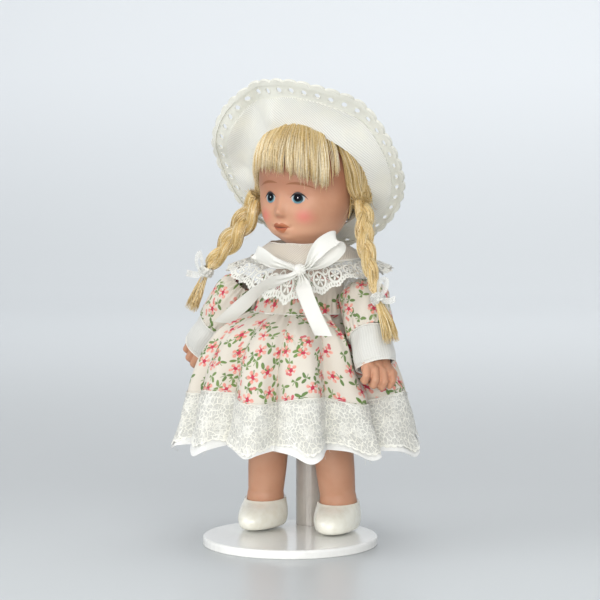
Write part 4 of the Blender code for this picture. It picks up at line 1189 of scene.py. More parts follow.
def build_tie(side):
    """A twist of white lace trimming round the end of the plait, with two short tails and a small loop."""
    end = np.array(BRAIDS[side][-1])
    next_point = np.array(TASSELS[side][1])
    along = unit(next_point - end)
    across = unit(np.cross(along, OUTWARD[side]))
    outward = np.cross(across, along)
    middle = end + (next_point - end) * 0.5
    name = f"braid_tie_{side}"
    body = f"braid_{side}"
    # The wrapped band: a crinkled barrel.
    rows = np.linspace(-1, 1, 16)
    turn = np.arange(72) / 72 * TURN
    r, a = np.meshgrid(rows, turn, indexing="ij")
    barrel = (
        1.75 + 0.85 * np.sqrt(np.clip(1 - r**2, 0, 1)) + 0.22 * np.sin(9 * a + 3 * r)
        + 0.12 * np.sin(17 * a - 5 * r)
    )
    points = (
        middle + along * (r * 1.7)[..., None] + across * (barrel * np.cos(a))[..., None]
        + outward * (barrel * np.sin(a))[..., None]
    )
    uv, _ = ring_uv(points, rows[:, None] * 1.7)
    surface(f"tie_band_{side}", points, body, TIE_LACE, name, uv=uv, wrap=True)
    inner = middle + (points - middle) * 0.90
    surface(f"tie_core_{side}", inner, body, SATIN, name, uv=uv, wrap=True)
    # Tails and a loop of the same trimming.
    strips = []
    way = across if side == "left" else -across
    tails = [
        ((0.2, 0.9, 1.5), (-2.2, 2.6, 2.2), (-4.6, 3.2, 4.4)),
        ((0.2, 0.9, 1.5), (2.4, 2.4, 2.6), (3.8, 2.4, 5.6)),
        ((0.0, 1.0, 2.2), (-2.6, -2.0, 3.6), (-3.4, -5.4, 3.4), (-1.2, -4.6, 3.9), (0.3, -1.0, 2.7)),
    ]
    for k, control in enumerate(tails):
        knots = [middle + way * c[0] + along * c[1] + outward * c[2] for c in control]
        line = spline(knots, 26)
        direction = unit(np.gradient(line, axis=0))
        width_way = unit(np.cross(direction, outward) + along * 0.2)
        share = np.linspace(0, 1, 26)
        half = 1.15 * (0.45 + 0.55 * smoothstep(0, 0.35, share))
        if k == 2:
            half = 1.0 * (0.45 + 0.55 * np.sin(np.pi * share))
        cross = np.linspace(-1, 1, 7)
        cup = outward[None, None] * (0.25 * (cross**2))[None, :, None]
        points = line[:, None] + width_way[:, None] * (half[:, None] * cross)[..., None] + cup
        points = points + outward * (0.18 * np.sin(share * 16 + k))[:, None, None]
        strips.append((points, strip_uv(points)))
    for k, (points, uv) in enumerate(strips):
        surface(f"tie_tail_{side}_{k}", points, body, TIE_LACE, name, uv=uv)


build_wig_cap()
build_fringe()
build_side_hair()
build_stray_hair()
for side_name in SIDES:
    build_braid(side_name)


# ---------------------------------------------------------------- hat

HAT = np.array([0.5, 18.3, 134.0])
FACING = unit(np.array([-0.08, -0.83, -0.545]))
ACROSS = unit(np.array([1.0, 0, 0]) - FACING * FACING[0])
UP = np.cross(FACING, ACROSS)
UP = UP if UP[2] > 0 else -UP
RIM = 36.0
SCALLOPS = 42
OPEN_WIDE, OPEN_HIGH, OPEN_DROP = 20.8, 23.3, 3.2


def hat_place(x, y, forward):
    return HAT + ACROSS * x[..., None] + UP * y[..., None] + FACING * forward[..., None]


def crease(x, y, start, end, depth, soft, reach):
    """A soft bend of the brim along a line between two points: the cloth leans away from it on both sides."""
    start, end = np.array(start), np.array(end)
    d = end - start
    length = np.linalg.norm(d)
    d = d / length
    along = (x - start[0]) * d[0] + (y - start[1]) * d[1]
    off = (x - start[0]) * -d[1] + (y - start[1]) * d[0]
    tent = 1 - np.minimum(np.sqrt(off**2 + soft**2) / reach, 1.0)
    return (
        depth * smoothstep(0, 1, tent) * smoothstep(-4, 4, along) * smoothstep(length + 4, length - 4, along)
    )


def opening(theta):
    """Half sizes of the hat's opening: a little wider on the doll's left, and lower at the front."""
    wide = OPEN_WIDE + 2.6 * np.clip(np.cos(theta), 0, 1)
    high = OPEN_HIGH - 2.6 * np.clip(np.sin(theta), 0, 1)
    return wide, high


# Start, end, depth, softness and reach of each bend in the brim.
CREASES = [
    ((-12, 33), (-25, -6), -2.3, 0.8, 8.0),
    ((-18, 32), (-33, 4), 1.6, 1.2, 6.0),
    ((-11, 33), (-9, 18), 1.8, 1.0, 7.0),
    ((6, 36), (22, 22), 0.9, 2.0, 8.0),
    ((22, 30), (29, -8), -1.1, 2.2, 9.0),
]


def brim(theta, s):
    """A point of the brim: s is 0 at the opening and 1 at the scalloped edge."""
    lobe = np.abs(np.sin(SCALLOPS / 2 * theta)) ** 0.6
    rim = RIM + (1.05 * lobe - 0.85) * smoothstep(0.90, 1.0, s)
    wide, high = opening(theta)
    x = (wide + 0.4) * np.cos(theta) * (1 - s) + rim * np.cos(theta) * s
    y = ((high + 0.4) * np.sin(theta) - OPEN_DROP) * (1 - s) + rim * np.sin(theta) * s
    forward = 3.0 * (1 - s) ** 2 + 1.1 * np.sin(5 * theta + 0.6) * s
    for crease_line in CREASES:
        forward = forward + crease(x, y, *crease_line)
    forward = forward + 0.16 * np.sin(3 * theta + 5 * s) + 0.12 * np.sin(11 * theta - 4 * s) * s
    return hat_place(x, y, forward), x, y


HOLE_S = 0.775
BAND = (0.62, 0.90)
CELL = 6
# Lengths that turn the brim's bearings and shares into millimetres of cloth.
BAND_RADIUS = 32.5
BRIM_DEPTH = 14.0


def build_brim():
    """Plain twill inside, then a band of eyelet cells, then the scalloped edge."""
    cols = SCALLOPS * CELL
    theta = np.arange(cols) / cols * TURN
    rows = np.linspace(-0.075, BAND[0], 18)
    a, s = np.meshgrid(theta, rows)
    points, x, y = brim(a, s)
    a_uv, s_uv = np.meshgrid(np.append(theta, TURN), rows)
    _, x, y = brim(a_uv, s_uv)
    obj = surface("hat_brim_cloth", points, "hat", TWILL, "hat_brim", uv=np.stack([x, y], -1), wrap=True)
    thicken(obj, 0.6)

    # One eyelet cell is a square in (theta, s) with a round hole, and its outline meets its neighbours'.
    side = np.arange(CELL) / CELL
    low, high = np.zeros(CELL), np.ones(CELL)
    square = np.column_stack([
        np.concatenate([side, high, 1 - side, low]), np.concatenate([low, side, high, 1 - side])
    ])
    middle_s = (HOLE_S - BAND[0]) / (BAND[1] - BAND[0])
    bearing = np.arctan2(square[:, 1] - 0.5, square[:, 0] - 0.5)
    cell_width = TURN / SCALLOPS
    hole_u = 1.12 / (cell_width * BAND_RADIUS)
    hole_v = 0.90 / ((BAND[1] - BAND[0]) * BRIM_DEPTH)
    loops = []
    for t in (0.0, 0.25, 0.5, 0.72, 0.88, 1.0):
        hole = np.stack([0.5 + hole_u * np.cos(bearing), middle_s + hole_v * np.sin(bearing)], axis=-1)
        loops.append(square * (1 - t) + hole * t)
    loops = np.stack(loops)
    count = len(square)
    all_points, all_faces, all_uv = [], [], []
    lips = []
    for k in range(SCALLOPS):
        th = (k + loops[..., 0]) * cell_width
        sv = BAND[0] + loops[..., 1] * (BAND[1] - BAND[0])
        points, _, _ = brim(th, sv)
        faces = grid_faces(len(loops), count, wrap=True)
        all_faces.append(faces[:, ::-1] + k * loops.shape[0] * count)
        all_points.append(points.reshape(-1, 3))
        all_uv.append(np.stack([th * BAND_RADIUS, sv * BRIM_DEPTH], -1).reshape(-1, 2))
        lips.append(points[-1])
    all_points = np.concatenate(all_points)
    all_uv = np.concatenate(all_uv)
    all_faces = np.concatenate(all_faces)
    band = build("hat_eyelets", all_points, all_faces, "hat", BORDER, "hat_brim",
                 {"flat": all_uv[all_faces.reshape(-1)]})
    weld = band.modifiers.new("weld", "WELD")
    weld.merge_threshold = 0.00001
    thicken(band, 0.6)

    rows = np.linspace(BAND[1] - 0.004, 1.0, 9)
    fine = np.arange(cols * 2) / (cols * 2) * TURN
    a, s = np.meshgrid(fine, rows)
    points, _, _ = brim(a, s)
    a_uv, s_uv = np.meshgrid(np.append(fine, TURN), rows)
    edge = surface(
        "hat_edge", points, "hat", BORDER, "hat_brim", uv=np.stack([a_uv * 35.0, s_uv * BRIM_DEPTH], -1),
        wrap=True
    )
    thicken(edge, 0.6)

    # Overcast thread round each eyelet and along the scallops.
    rings = np.array([np.concatenate([lip, lip[:2]]) for lip in lips]) + FACING * 0.04
    points, faces = tubes(rings, 0.20, 6)
    theta = np.append(np.arange(cols * 2) / (cols * 2) * TURN, [0.0, TURN / (cols * 2)])
    outline, _, _ = brim(theta, np.ones_like(theta) * 0.995)
    cord = tubes(outline[None] - FACING * 0.28, 0.32, 8)
    points, faces = join([(points, faces), cord])
    uv = np.zeros((faces.size, 2))
    uv[:, 0] = np.repeat(np.arange(len(faces)), 4) * 0.37
    build("hat_overcasting", points, faces, "hat", BORDER, "hat_brim", {"flat": uv})
    return obj


def build_crown():
    cols = 220
    theta = np.arange(cols) / cols * TURN
    shares = np.concatenate([np.linspace(0, 0.9, 26), [0.93, 0.955, 0.975, 0.99, 0.998, 1.0]])
    a, s = np.meshgrid(theta, shares)

    def place(a, s):
        wide = (1 - np.minimum(s, 0.9999) ** 2.6) ** (1 / 2.6)
        gather = 0.32 * np.sin(44 * a + 1.5 * np.sin(3 * a)) * bump(s, 0.0, 0.22)
        soft = (
            0.5 * np.sin(4 * a + 1.0) * np.sin(np.pi * s) + 0.35 * np.sin(7 * a + 3 * s) * np.sin(np.pi * s)
        )
        open_wide, open_high = opening(a)
        x = (open_wide + gather + soft - 0.2) * np.cos(a) * wide
        y = (open_high + gather + soft - 0.2) * np.sin(a) * wide - OPEN_DROP * (1 - 0.5 * s)
        return hat_place(x, y, 2.0 - 25.3 * s), x, y

    points, _, _ = place(a, s)
    pole = points[-1].mean(axis=0)
    points = np.concatenate([points, (pole + (points[-1] - pole) * 0.02)[None]])
    a_uv, s_uv = np.meshgrid(np.append(theta, TURN), np.append(shares, 1.01))
    uv = np.stack([a_uv * 21.0, s_uv * 34.0], -1)
    obj = surface("hat_crown_cloth", points, "hat", TWILL, "hat_crown", uv=uv, wrap=True)
    thicken(obj, 0.5)
    # The seam that joins crown and brim, with its stitches.
    ring, _, _ = place(np.append(theta, [0.0, theta[1]]), np.zeros(cols + 2) + 0.02)
    stitches = []
    for k in range(84):
        b = (k + 0.5) / 84 * TURN
        seg, _, _ = place(np.linspace(b - 0.022, b + 0.022, 5), np.linspace(0.035, 0.035, 5))
        away = unit(seg - (HAT + FACING * ((seg - HAT) @ FACING)[:, None]))
        stitches.append(seg + away * (0.12 * np.sin(np.linspace(0, np.pi, 5)))[:, None])
    points, faces = join([tubes(ring[None], 0.28, 6), tubes(np.array(stitches), 0.09, 5)])
    build("hat_seam", points, faces, "hat", THREAD, "hat_crown")
    return obj


brim_cloth = build_brim()
crown_cloth = build_crown()


# ---------------------------------------------------------------- dress

PROFILE = [(35.0, 45.4), (45.0, 42.2), (54.0, 39.6), (60.0, 38.0), (67.0, 35.4), (72.0, 32.4), (76.0, 28.8),
           (79.0, 24.0), (82.0, 17.4)]
DENTS = [(math.radians(-17), 9.6), (math.radians(166), 8.6)]


# The folds are evenly spaced round the skirt, from a first crest at this bearing in degrees.
FOLDS = 12
FIRST_CREST = -130
CREST_UV_STEP = 29.0


def fold_number(angle):
    """Counts folds round the skirt: a whole number on each crest."""
    degrees = (np.degrees(angle) + 129) % 360 - 129
    return np.interp(degrees, [FIRST_CREST, FIRST_CREST + 360], [0, FOLDS])


def fold_wave(angle):
    """Broad rounded crests with narrow valleys, as gathered cloth hangs."""
    main = 2 * (np.cos(math.pi * fold_number(angle)) ** 2 + 0.004) ** 0.40 - 1
    return 0.88 * main + 0.12 * np.cos(5 * angle + 1.0)


def hang(angle, z):
    """How far the cloth hangs above its level.

    The hem is lowest just past each crest, and the lace seam waves six times round the skirt.
    """
    lag = TURN * (fold_number(angle) - 0.14)
    hem = -1.5 * np.cos(lag + 0.5 * np.sin(lag)) + 0.9 * np.sin(2 * angle - 1.4)
    seam = 1.5 * np.cos(6 * angle + 13.0) - 0.6 * np.cos(angle)
    low = np.clip((54.6 - z) / 17.6, 0, 1)
    return (seam * (1 - low) + hem * low) * smoothstep(74, 55, z)


def skirt(angle, z, inset=0.0, ripple=0.0):
    angle, z = np.broadcast_arrays(angle, z)
    share = (82.0 - z) / 46.2
    reach = 2.2 + 3.8 * share
    outer = curve(PROFILE, z)
    radius = outer - reach + reach * fold_wave(angle) - inset
    gathers = np.sin(52 * angle + 2.0 * np.sin(3 * angle)) * 0.5 + 0.5 * np.sin(37 * angle + 1.0)
    radius = radius + 0.75 * gathers * smoothstep(62, 80, z) * (0.6 + 0.4 * np.sin(7 * angle))
    radius = radius + 0.35 * np.sin(23 * angle + 0.12 * z + 1.2 * np.sin(4 * angle)) * smoothstep(82, 60, z)
    radius = radius + ripple * np.sin(31 * angle + 0.5 * z)
    pressed = smoothstep(56, 66, z) * (1 - smoothstep(79, 82, z))
    for direction, depth in DENTS:
        away = (angle - direction + math.pi) % TURN - math.pi
        radius = radius - depth * pressed * np.exp(-((away / math.radians(20)) ** 2))
    # Each crest leans to one side, so one flank of the fold is steep.
    angle = angle + 0.055 * share * (1 + np.cos(TURN * fold_number(angle)))
    flat = 1.0 - 0.14 * smoothstep(60, 82, z)
    centre = 10.0 - 1.5 * share
    height = z + hang(angle, z)
    return np.stack([radius * np.cos(angle), centre + radius * flat * np.sin(angle), height], axis=-1)


def fold_uv(points, angle):
    """Metric coordinates whose width is measured from each crest, so the print is tucked into the valleys."""
    closed = np.concatenate([points, points[:, :1]], axis=1)
    step = np.linalg.norm(np.diff(closed, axis=1), axis=2)
    run = np.concatenate([np.zeros((len(points), 1)), np.cumsum(step, axis=1)], axis=1)
    number = np.append(fold_number(angle), fold_number(angle[:1]))
    fold = np.round(number).astype(int) % FOLDS
    fold[-1] = fold[-2]
    crest = [np.argmin(np.abs((number[:-1] - k + FOLDS / 2) % FOLDS - FOLDS / 2)) for k in range(FOLDS)]
    u = run - run[:, np.array(crest)[fold]] + fold * CREST_UV_STEP
    rise = np.linalg.norm(np.diff(points, axis=0), axis=2).mean(axis=1)
    v = np.append(0.0, np.cumsum(rise))
    return np.stack([u, np.broadcast_to(v[:, None], u.shape)], axis=-1)


def build_skirt():
    cols = 720
    angle = math.radians(6) + np.arange(cols) / cols * TURN
    heights = np.linspace(53.2, 81.9, 60)
    a, z = np.meshgrid(angle, heights)
    floral = skirt(a, z)
    _, width = ring_uv(floral, heights[:, None])
    uv = fold_uv(floral, angle)
    skirt_obj = surface("dress_skirt_cloth", floral, "doll", FLORAL, "dress_skirt", uv=uv, wrap=True)
    thicken(skirt_obj, 0.35)
    sizes = {"skirt": (width, uv[-1, 0, 1])}

    heights = np.linspace(0, 1, 46)
    a, s = np.meshgrid(angle, heights)
    curl = smoothstep(0.22, 0.0, s)
    droop = -0.6 + 1.1 * np.sin(5 * a + 0.5)
    ragged = droop + 0.35 * np.sin(17 * a) + 0.25 * np.sin(41 * a)
    z = 37.6 + 16.9 * s + ragged * curl
    lace = skirt(a, z, inset=-0.30, ripple=0.18)
    out = unit(lace * np.array([1, 1, 0]) - np.array([0, 8.5, 0]))
    out[..., 2] = 0
    lace = lace + out * (0.7 * curl * (0.6 + 0.6 * np.sin(6 * a + 1)))[..., None]
    uv, width = ring_uv(lace, heights[:, None] * 17.6)
    lace_obj = surface("hem_lace_net", lace, "doll", HEM_LACE, "hem_lace", uv=uv, wrap=True)
    sizes["lace"] = (width, 18.0)

    heights = np.linspace(0, 1, 40)
    a, s = np.meshgrid(angle, heights)
    curl = smoothstep(0.10, 0.0, s)
    z = 35.3 + 25.9 * s + 0.5 * np.sin(6 * a + 0.5) * curl
    lining = skirt(a, z, inset=0.35 + 0.9 * smoothstep(0.1, 0.8, s) - 0.7 * curl)
    uv, width = ring_uv(lining, heights[:, None] * 26.0)
    lining_obj = surface("skirt_lining_cloth", lining, "doll", LINING, "skirt_lining", uv=uv, wrap=True)
    thicken(lining_obj, 0.3)
    sizes["lining"] = (width, 26.5)

    # Seam cord and running stitches where the lace meets the print, and along the lining's hem.
    closed = np.append(angle, [0.0, angle[1]])
    seam = skirt(closed, np.full_like(closed, 54.3), inset=-0.5)
    pieces = [tubes(seam[None], 0.16, 6)]
    for level, inset, count in ((53.6, -0.42, 150), (54.9, -0.12, 150), (36.0, 0.0, 130)):
        stitches = []
        for k in range(count):
            b = np.linspace((k + 0.2) / count * TURN, (k + 0.75) / count * TURN, 6)
            line = skirt(b, np.full_like(b, level), inset=inset)
            stitches.append(line)
        pieces.append(tubes(np.array(stitches), 0.10, 5))
    points, faces = join(pieces)
    build("skirt_stitching", points, faces, "doll", THREAD, "dress_skirt")

    # Frayed ends of thread under the hem.
    rng = np.random.default_rng(41)
    threads = []
    for _ in range(34):
        b = rng.uniform(0, TURN)
        start = skirt(np.array([b]), np.array([36.0]), inset=0.8)[0]
        way = np.array([rng.normal(0, 0.5), rng.normal(0, 0.5), -1.0])
        t = np.linspace(0, 1, 9)[:, None]
        length = rng.uniform(0.6, 2.2) if rng.random() < 0.85 else rng.uniform(2.5, 4.0)
        side_way = unit(np.array([math.cos(b), math.sin(b), 0]))
        threads.append(start + unit(way) * t * length + side_way * np.sin(t * 3) * rng.uniform(-0.8, 0.8))
    points, faces = tubes(np.array(threads), 0.05, 4)
    build("hem_threads", points, faces, "doll", THREAD, "skirt_lining")
    return skirt_obj, lace_obj, lining_obj, sizes


def build_bodice():
    cols = 260
    angle = np.arange(cols) / cols * TURN
    heights = np.linspace(81.5, 94.6, 20)
    a, z = np.meshgrid(angle, heights)
    half_width = curve([(82, 16.4), (85, 15.6), (89, 15.4), (94.4, 15.0)], z)
    half_depth = curve([(82, 13.6), (85, 12.0), (89, 11.0), (94.4, 10.6)], z)
    centre = curve([(82, 10.2), (85, 11.0), (89, 12.2), (94.4, 13.2)], z)
    ruffle = 0.28 * np.sin(40 * a + np.sin(3 * a)) * bump(z, 82, 5) + 0.2 * np.sin(13 * a + 0.3 * z)
    points = np.stack(
        [0.3 + (half_width + ruffle) * np.cos(a), centre + (half_depth + ruffle) * np.sin(a), z], -1
    )
    uv, width = ring_uv(points, heights[:, None])
    obj = surface("dress_bodice_cloth", points, "doll", FLORAL, "dress_bodice", uv=uv, wrap=True)
    thicken(obj, 0.35)
    # The waist seam, pulled in with stitches.
    turn = np.append(angle, [0.0, angle[1]])
    band = np.stack([0.3 + 16.9 * np.cos(turn), 10.2 + 14.1 * np.sin(turn), np.full_like(turn, 81.8)], -1)
    points, faces = tubes(band[None], 0.3, 6)
    build("waist_seam", points, faces, "doll", MUSLIN, "dress_bodice")
    return obj, width


SHOULDERS = {"left": np.array([24.2, 10.0, 88.2]), "right": np.array([-22.6, 13.6, 88.6])}
FISTS = {"left": np.array([34.8, -10.2, 63.8]), "right": np.array([-41.4, 19.8, 65.0])}


def limb_axes(start, end):
    down = unit(end - start)
    across = unit(np.cross(np.array([0, 1.0, 0]), -down))
    return down, across, np.cross(-down, across)


def limb_surface(start, end, table, cols, rows, ruffle=None):
    """Rings along a limb. The table rows are (share, half width, half depth)."""
    _, across, along = limb_axes(start, end)
    shares = np.linspace(table[0][0], table[-1][0], rows)
    turn = np.arange(cols) / cols * TURN
    s, a = np.meshgrid(shares, turn, indexing="ij")
    wide = curve([(row[0], row[1]) for row in table], s)
    deep = curve([(row[0], row[2]) for row in table], s)
    extra = 0.0 if ruffle is None else ruffle(s, a)
    centre = start + (end - start) * s[..., None]
    points = (
        centre + across * ((wide + extra) * np.cos(a))[..., None]
        + along * ((deep + extra) * np.sin(a))[..., None]
    )
    return points[::-1], shares[::-1] * np.linalg.norm(end - start)


def build_sleeve(side):
    shoulder, fist = SHOULDERS[side], FISTS[side]
    body = f"arm_{side}"

    def puff(s, a):
        top = 0.34 * np.sin(26 * a + np.sin(3 * a)) * bump(s, -0.06, 0.14)
        cuff = 0.30 * np.sin(30 * a + 2 * np.sin(2 * a)) * bump(s, 0.55, 0.10)
        crumple = 0.38 * np.sin(5 * a + 9 * s + 1) * np.sin(7 * s + 2 * a)
        return top + cuff + crumple

    table = [(-0.10, 5.0, 5.0), (-0.02, 7.6, 7.6), (0.2, 8.6, 8.8), (0.42, 8.4, 8.6), (0.54, 7.6, 7.8)]
    points, length = limb_surface(shoulder, fist, table, 200, 44, puff)
    uv, width = ring_uv(points, length[:, None])
    sleeve = surface(f"sleeve_cloth_{side}", points, body, FLORAL, f"sleeve_{side}", uv=uv, wrap=True)
    thicken(sleeve, 0.35)

    def ribs(s, a):
        return 0.10 * np.sin(9 * a + 6 * s) + 0.16 * np.sin(24 * s + 2 * a) * smoothstep(0.56, 0.62, s)

    table = [(0.545, 7.3, 7.4), (0.70, 7.3, 7.2), (0.80, 7.4, 6.6), (0.90, 7.2, 5.3)]
    points, length = limb_surface(shoulder, fist, table, 160, 34, ribs)
    down, across, along = limb_axes(shoulder, fist)
    size = np.linalg.norm(fist - shoulder)

    def droop(points):
        """The cuff hangs lower in front, over the back of the hand."""
        off = points - shoulder
        share = (off @ down) / size
        front = (off - down * (off @ down)[..., None]) @ unit(np.array([0.2, -1.0, 0.1]))
        return points + down * (2.6 * smoothstep(0.70, 0.90, share) * smoothstep(-3.0, 5.0, front))[..., None]

    points = droop(points)
    uv, width = ring_uv(points, length[:, None])
    under = surface(f"undersleeve_cloth_{side}", points, body, KNIT, f"undersleeve_{side}", uv=uv, wrap=True)
    thicken(under, 0.5)
    # A turned hem at the wrist, and the seam above.
    rings = []
    for share, wide, deep, thick in (
        (0.897, 7.15, 5.3, 0.26), (0.868, 7.35, 5.8, 0.07), (0.552, 7.5, 7.6, 0.26)
    ):
        turn = np.linspace(0, TURN, 92)[:, None]
        ring = (
            shoulder + (fist - shoulder) * share + across * wide * np.cos(turn) + along * deep * np.sin(turn)
        )
        rings.append(tubes(droop(ring)[None], thick, 8))
    points, faces = join(rings)
    build(f"cuff_hem_{side}", points, faces, body, THREAD, f"undersleeve_{side}")


COLLAR = np.array([1.8, 16.6, 0.0])


def collar_height(radius, angle):
    steep = 0.012 + 0.030 * np.sin(angle) ** 4
    reach = np.maximum(0.0, radius - 12.0)
    return 102.3 - 0.12 * reach - steep * reach**2


def build_yoke():
    cols = 180
    angle = np.arange(cols) / cols * TURN
    shares = np.linspace(-0.02, 1.0, 26)

    def place(share, a):
        r = 20.5 - 7.9 * share + 0.5 * np.sin(np.pi * np.clip(share, 0, 1))
        centre = COLLAR + (NECK - COLLAR) * share[..., None]
        low = collar_height(np.full_like(r, 20.5), a) + 0.65
        height = low + (106.2 - low) * share + 0.10 * np.sin(9 * a + 4 * share)
        return np.stack([centre[..., 0] + r * np.cos(a), centre[..., 1] + r * np.sin(a), height], -1), r

    t, a = np.meshgrid(shares, angle, indexing="ij")
    points, _ = place(t, a)
    closed = np.append(angle, TURN)
    t, a = np.meshgrid(shares, closed, indexing="ij")
    _, r = place(t, a)
    uv = np.stack([a * 16.0, 10.5 * t], -1)
    obj = surface("yoke_cloth", points, "doll", YOKE_TWILL, "yoke", uv=uv, wrap=True)
    thicken(obj, 0.45)
    # The neck's bound edge and its stitching.
    turn = np.linspace(0, TURN, 122)
    ring, _ = place(np.ones_like(turn), turn)
    pieces = [tubes(ring[None], 0.15, 8)]
    stitches = []
    for k in range(56):
        b = np.linspace((k + 0.2) / 56 * TURN, (k + 0.7) / 56 * TURN, 4)
        line, _ = place(np.full_like(b, 0.93), b)
        stitches.append(line + np.array([0, 0, 0.08]))
    pieces.append(tubes(np.array(stitches), 0.10, 5))
    points, faces = join(pieces)
    build("yoke_stitching", points, faces, "doll", THREAD, "yoke")
    return obj


def build_collar():
    cols = 640
    angle = np.arange(cols) / cols * TURN
    share = np.linspace(1.0, 0.0, 26)
    s, a = np.meshgrid(share, angle, indexing="ij")
    wave = np.sin(14 * a + 0.3 + 0.5 * np.sin(3 * a))
    small = np.sin(38 * a + 1.0) * 0.5 + np.sin(25 * a) * 0.5
    radius = 20.6 + 9.5 * s + 0.55 * s * wave
    height = collar_height(radius, a) + 0.15 + 1.35 * s * wave + 0.30 * small * (1 - s) + 0.25 * small * s
    points = COLLAR + np.stack([radius * np.cos(a), radius * np.sin(a), height], -1)
    uv, width = ring_uv(points, share[:, None] * 9.7)
    obj = surface("lace_collar_ruffle", points, "doll", COLLAR_LACE, "lace_collar", uv=uv, wrap=True)
    # A corded band where the lace is sewn to the yoke.
    turn = np.linspace(0, TURN, 200)
    level = collar_height(np.full_like(turn, 20.9), turn) + 0.75
    ring = COLLAR + np.stack([20.9 * np.cos(turn), 20.9 * np.sin(turn), level], -1)
    points, faces = tubes(ring[None], 0.38, 8)
    build("collar_band", points, faces, "doll", THREAD, "lace_collar")
    return obj, width


skirt_cloth, hem_net, lining_cloth, flats = build_skirt()
bodice_cloth, bodice_width = build_bodice()
for side_name in SIDES:
    build_sleeve(side_name)
yoke_cloth = build_yoke()
collar_ruffle, collar_width = build_collar()

round(flats["skirt"][0] * MM, 4)
round(flats["skirt"][1] * MM, 4)
round(flats["lace"][0] * MM, 4)
round(flats["lining"][0] * MM, 4)


# ---------------------------------------------------------------- bow

KNOT = np.array([6.0, -7.4, 97.8])


def ribbon_strip(points, start_way, end_way, pinched, half=2.7, count=80, cup=0.45, ripple=0.25, seed=0):
    line = spline(points, count)
    share = np.linspace(0, 1, count)
    way = unit(
        unit(np.array(start_way, float)) * (1 - share[:, None])
        + unit(np.array(end_way, float)) * share[:, None]
    )
    along = unit(np.gradient(line, axis=0))
    way = unit(way - along * (way * along).sum(-1, keepdims=True))
    normal = np.cross(along, way)
    pinch = np.ones(count)
    for end in pinched:
        pinch = np.minimum(pinch, 0.30 + 0.70 * smoothstep(0.0, 0.32, np.abs(share - end)))
    cross = np.linspace(-1, 1, 17)
    bend = cup * (cross[None, :] ** 2) + (1 - pinch[:, None]) * 0.9 * np.cos(cross[None, :] * 7.0)
    bend = bend + ripple * np.sin(share[:, None] * 11 + seed) * cross[None, :] * pinch[:, None]
    return (
        line[:, None] + way[:, None] * (half * pinch[:, None] * cross)[..., None]
        + normal[:, None] * bend[..., None]
    )


def build_bow():
    x, y, z = KNOT
    loops = {
        "bow_loop_left": [
            (x + 1.2, y - 0.3, z + 0.4), (x + 3.0, y - 0.2, z + 1.6),
            (x + 5.6, y - 1.0, z + 5.4), (x + 9.4, y + 0.2, z + 9.8),
            (x + 12.4, y + 2.6, z + 11.0), (x + 12.9, y + 4.0, z + 8.8),
            (x + 9.0, y + 3.2, z + 4.2), (x + 4.6, y + 1.6, z + 1.4),
            (x + 1.2, y + 0.6, z + 0.4),
        ],
        "bow_loop_right": [
            (x - 1.2, y - 0.3, z + 0.2), (x - 3.0, y - 0.4, z + 0.8),
            (x - 8.8, y - 1.8, z + 2.6), (x - 14.4, y + 0.2, z + 5.2),
            (x - 17.0, y + 2.4, z + 5.6), (x - 14.6, y + 2.8, z + 4.2),
            (x - 8.8, y + 1.2, z + 2.4), (x - 3.4, y + 1.0, z + 1.6),
            (x - 1.2, y + 0.6, z + 0.5),
        ],
    }
    ways = {"bow_loop_left": ((-0.6, -0.1, 0.7),) * 2, "bow_loop_right": ((0.35, -0.3, 0.8),) * 2}
    for name, path in loops.items():
        points = ribbon_strip(path, *ways[name], (0, 1), half=2.8 if "left" in name else 2.4, count=110,
                              seed=1.3 if "left" in name else 2.1)
        obj = surface(f"{name}_satin", points, "doll", SATIN, name, uv=strip_uv(points))
        thicken(obj, 0.22, 0.0)
    tails = {
        "bow_tail_left": (
            [
                (x + 0.6, y - 0.9, z - 1.0), (x + 1.4, y - 1.6, z - 2.6), (x + 4.2, -15.4, 91.6),
                (x + 8.6, -18.8, 84.0), (x + 12.6, -19.4, 76.4)
            ],
            (0.95, 0.15, 0.25), (0.95, 0.3, 0.2),
        ),
        "bow_tail_right": (
            [
                (x - 0.8, y - 1.0, z - 1.0), (x - 2.2, y - 1.8, z - 2.0), (-3.8, -15.4, 92.8),
                (-11.8, -17.4, 85.8), (-19.4, -16.6, 79.6)
            ],
            (0.2, -0.35, 0.85), (0.4, -0.4, 0.8),
        ),
    }
    for name, (path, start_way, end_way) in tails.items():
        points = ribbon_strip(path, start_way, end_way, (0,), count=110, cup=0.3, ripple=0.45, seed=0.4)
        # The ends are cut on a slant.
        along = unit(points[-1, 8] - points[-8, 8])
        slant = np.linspace(-1.4, 1.4, 17)
        fade = smoothstep(0.85, 1.0, np.linspace(0, 1, len(points)))
        points = points + along * (fade[:, None] * slant)[..., None]
        obj = surface(f"{name}_satin", points, "doll", SATIN, name, uv=strip_uv(points))
        thicken(obj, 0.22, 0.0)
    # The knot: a band of the ribbon wrapped tightly, with folds across it.
    turn = np.arange(72) / 72 * TURN
    rows = np.linspace(-1, 1, 30)
    r, a = np.meshgrid(rows, turn, indexing="ij")
    swell = np.sqrt(np.clip(1 - r**2 * 0.93, 0, 1))
    pleat = 1 + 0.07 * np.sin(r * 9 + 0.8 * np.sin(a)) + 0.03 * np.sin(5 * a)
    points = KNOT + np.stack(
        [2.35 * r, 1.85 * swell * pleat * np.cos(a), 2.25 * swell * pleat * np.sin(a)], -1
    )
    uv, _ = ring_uv(points, rows[:, None] * 2.3)
    obj = surface("bow_knot_satin", points, "doll", SATIN, "bow_knot", uv=uv, wrap=True)


build_bow()


# ---------------------------------------------------------------- body, arms and legs


